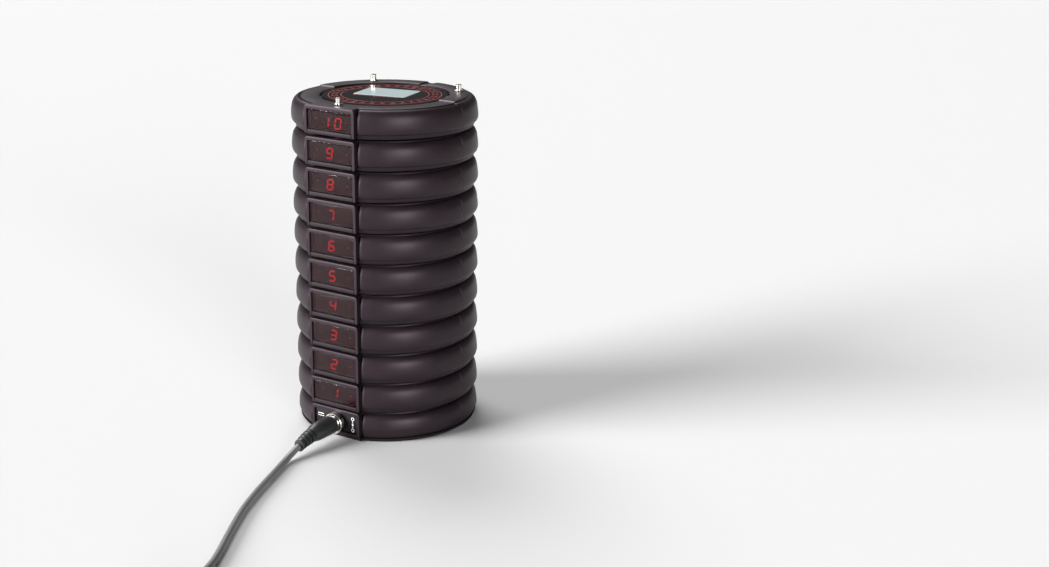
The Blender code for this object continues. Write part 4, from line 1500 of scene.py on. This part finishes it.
    def cord(self) -> None:
        points = self.cord_points()
        curve = bpy.data.curves.new("lead", "CURVE")
        curve.dimensions = "3D"
        spline = curve.splines.new("POLY")
        spline.points.add(len(points) - 1)
        for target, point in zip(spline.points, points):
            target.co = (point.x * MM, point.y * MM, point.z * MM, 1.0)
        curve.bevel_depth = self.radius * MM
        curve.bevel_resolution = 4
        curve.use_fill_caps = True
        curve.materials.append(Finishes.jacket.make())
        spline.use_smooth = True
        lead = link("dc_lead", curve)
        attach(lead, self.body)
        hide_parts("lead_run", "lead_coil")
        [value * MM for value in self.route[0]]

    def tie(self) -> bpy.types.Mesh:
        """Band round the coil's turns."""
        outer = rounded_rectangle(7.85, 3.8, 3.0, 6)
        inner = rounded_rectangle(7.35, 3.3, 2.6, 6)
        count = len(outer)
        half = 3.0
        vertices: list[tuple[float, float, float]] = []
        for along in (-half, half):
            vertices += [(x, along, z) for x, z in outer]
            vertices += [(x, along, z) for x, z in inner]
        faces: list[tuple[int, ...]] = []
        for k in range(count):
            m = (k + 1) % count
            faces.append((k, m, 2 * count + m, 2 * count + k))
            faces.append((count + k, 3 * count + k, 3 * count + m, count + m))
            faces.append((k, count + k, count + m, m))
            faces.append((2 * count + k, 2 * count + m, 3 * count + m, 3 * count + k))
        mesh = mesh_from("tie", vertices, faces)
        turn = math.radians(self.usb_heading + 90.0)
        x = self.coil_centre[0] + self.coil_radius * math.cos(turn)
        y = self.coil_centre[1] + self.coil_radius * math.sin(turn)
        mesh.transform(shift(x, y, 3.85) @ Matrix.Rotation(turn, 4, "Z"))
        return mesh

    def usb_parts(self, ribs: RibRow) -> list[tuple[str, bpy.types.Mesh, Finish, str, tuple[str, ...]]]:
        """USB plug: moulded grip with relief, steel shell with its windows, and the tongue with contacts."""
        matrix = metres(self.usb_frame())
        grip = box("grip", (7.0, -8.0, -4.0), (27.0, 8.0, 4.0), 1.6)
        dents = []
        for k in range(5):
            x = 10.6 + 2.6 * k
            dents.append(box("dent", (x, -8.6, -2.5), (x + 1.2, -7.5, 2.5), 0.3))
            dents.append(box("dent", (x, 7.5, -2.5), (x + 1.2, 8.6, 2.5), 0.3))
        grip = combine(grip, dents, "DIFFERENCE")
        lay = Matrix.Rotation(math.pi / 2.0, 4, "Y")
        core = lathe("relief", [(0.0, 0.0), (1.95, 0.0), (2.1, 0.3), (2.5, 7.6), (0.0, 7.6)], 32, lay)
        rings = ribs.row(Finishes.vinyl, (4, 32), 1.7, (2.3, 2.9), 1.0, 0.9)
        rings.transform(lay)
        shell = box("shell", (27.3, -6.0, -2.25), (39.3, 6.0, 2.25), 0.25)
        cuts = [box("mouth", (29.0, -5.65, -1.9), (41.0, 5.65, 1.9))]
        for low, high in ((0.9, 3.0), (-3.0, -1.5)):
            for y in (-3.6, 1.4):
                cuts.append(box("window", (33.0, y, low), (35.2, y + 2.2, high)))
        shell = combine(shell, cuts, "DIFFERENCE")
        tongue = box("tongue", (29.2, -5.3, -0.2), (38.8, 5.3, 1.65), 0.12)
        contacts = []
        for k in range(4):
            contacts.append(
                box("contact", (31.5, -4.0 + 2.3 * k, -0.32), (38.2, -3.0 + 2.3 * k, -0.15), 0.05)
            )
        made = [
            ("usb_grip", join("grip", [grip, core, rings]), Finishes.vinyl, "black_plastic", ("usb_body",)),
            ("usb_steel_shell", shell, Finishes.steel, "nickel", ("usb_shell",)),
            ("usb_tongue", tongue, Finishes.white_ink, "badge_pane", ()),
            ("usb_contacts", join("contacts", contacts), Finishes.gold, "nickel", ()),
        ]
        for _, mesh, _, _, _ in made:
            mesh.transform(matrix)
        return made

    def build(self, ribs: RibRow) -> None:
        plug = Piece(
            "dc_plug", self.plug(ribs), Finishes.vinyl, self.body, "black_plastic", ("plug_body",)
        ).place()
        nodes = ("plug_barrel",)
        others = [Piece("dc_plug_barrel", self.barrel(), Finishes.nickel, self.body, "nickel", nodes).place()]
        others.append(Piece("coil_tie", self.tie(), Finishes.vinyl, self.body, "black_plastic").place())
        for name, mesh, finish, slot, nodes in self.usb_parts(ribs):
            others.append(Piece(name, mesh, finish, self.body, slot, nodes).place())
        self.cord()


# --- Camera, floor and light ---


@dataclass
class Studio:
    """Pale floor, soft lights and the camera."""

    camera_place: tuple[float, float, float] = (0.4701, -0.6263, 0.3081)
    camera_forward: tuple[float, float, float] = (-0.5009, 0.8158, -0.2891)
    camera_up: tuple[float, float, float] = (-0.1642, 0.2384, 0.9572)
    lens: float = 52.6
    # Strength of the even light round the object, and of the backdrop that only the camera sees.
    fill: float = 0.09
    backdrop: float = 0.84
    # Name, azimuth, elevation, softness and power of each lamp.
    lamps: tuple[tuple[str, float, float, float, float], ...] = (
        ("key", -37.0, 19.0, 34.0, 7.6),
        ("side", 58.0, 12.0, 24.0, 2.2),
        ("back", -125.0, 50.0, 36.0, 2.2),
    )

    WHITE: ClassVar[tuple[float, float, float, float]] = (1.0, 1.0, 1.0, 1.0)

    def camera(self) -> None:
        """Create the scene's camera."""
        data = bpy.data.cameras.new("camera")
        data.sensor_width = 36.0
        data.lens = self.lens
        data.clip_start = 0.01
        data.clip_end = 60.0
        camera = link("camera", data)
        back = -Vector(self.camera_forward).normalized()
        right = Vector(self.camera_up).cross(back).normalized()
        turn = Matrix((right, back.cross(right), back)).transposed().to_4x4()
        camera.matrix_world = Matrix.Translation(self.camera_place) @ turn
        bpy.context.scene.camera = camera

    def floor(self) -> None:
        """Lay the pale floor."""
        half, low = 12000.0, -0.05
        square = [(-half, -half, low), (half, -half, low), (half, half, low), (-half, half, low)]
        mesh = mesh_from("floor", square, [(0, 1, 2, 3)])
        mesh.materials.append(Finishes.paper.make())
        link("studio_floor", mesh)

    def sun(self, name: str, azimuth: float, elevation: float, softness: float, power: float) -> None:
        """Add one distant soft light.

        Args:
            name: Name of the light.
            azimuth: Degrees from -Y towards +X at which the light stands.
            elevation: Degrees above the floor.
            softness: Apparent size in degrees.
            power: Watts per square metre.
        """
        data = bpy.data.lights.new(name, "SUN")
        data.energy = power
        data.angle = math.radians(softness)
        lamp = link(name, data)
        rise = math.radians(elevation)
        stand = Vector(polar(math.cos(rise), azimuth, math.sin(rise)))
        lamp.rotation_mode = "QUATERNION"
        lamp.rotation_quaternion = (-stand).to_track_quat("-Z", "Y")

    def build(self) -> None:
        """Set up the world, the lights, the floor and the camera."""
        bpy.context.scene.view_settings.view_transform = "Standard"
        world = bpy.data.worlds.new("studio")
        world.use_nodes = True
        tree = world.node_tree
        fill = tree.nodes["Background"]
        fill.inputs["Color"].default_value = self.WHITE
        fill.inputs["Strength"].default_value = self.fill
        backdrop = feed(tree, "ShaderNodeBackground", {"Color": self.WHITE, "Strength": self.backdrop})
        rays = add_node(tree, "ShaderNodeLightPath").outputs["Is Camera Ray"]
        links = {0: rays, 1: fill.outputs["Background"], 2: backdrop}
        blend = feed(tree, "ShaderNodeMixShader", {}, links)
        tree.links.new(blend, tree.nodes["World Output"].inputs["Surface"])
        bpy.context.scene.world = world
        for lamp in self.lamps:
            self.sun(*lamp)
        self.floor()
        self.camera()


# --- Assembly ---


def main() -> None:
    """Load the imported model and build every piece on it."""
    logging.basicConfig(level=logging.INFO, format="%(message)s")
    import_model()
    Studio().build()
    ribs = RibRow()
    DcLead().build(ribs)
    ChargingBase().build(ribs)
    PagerStack().build()


if __name__ == "__main__":
    main()
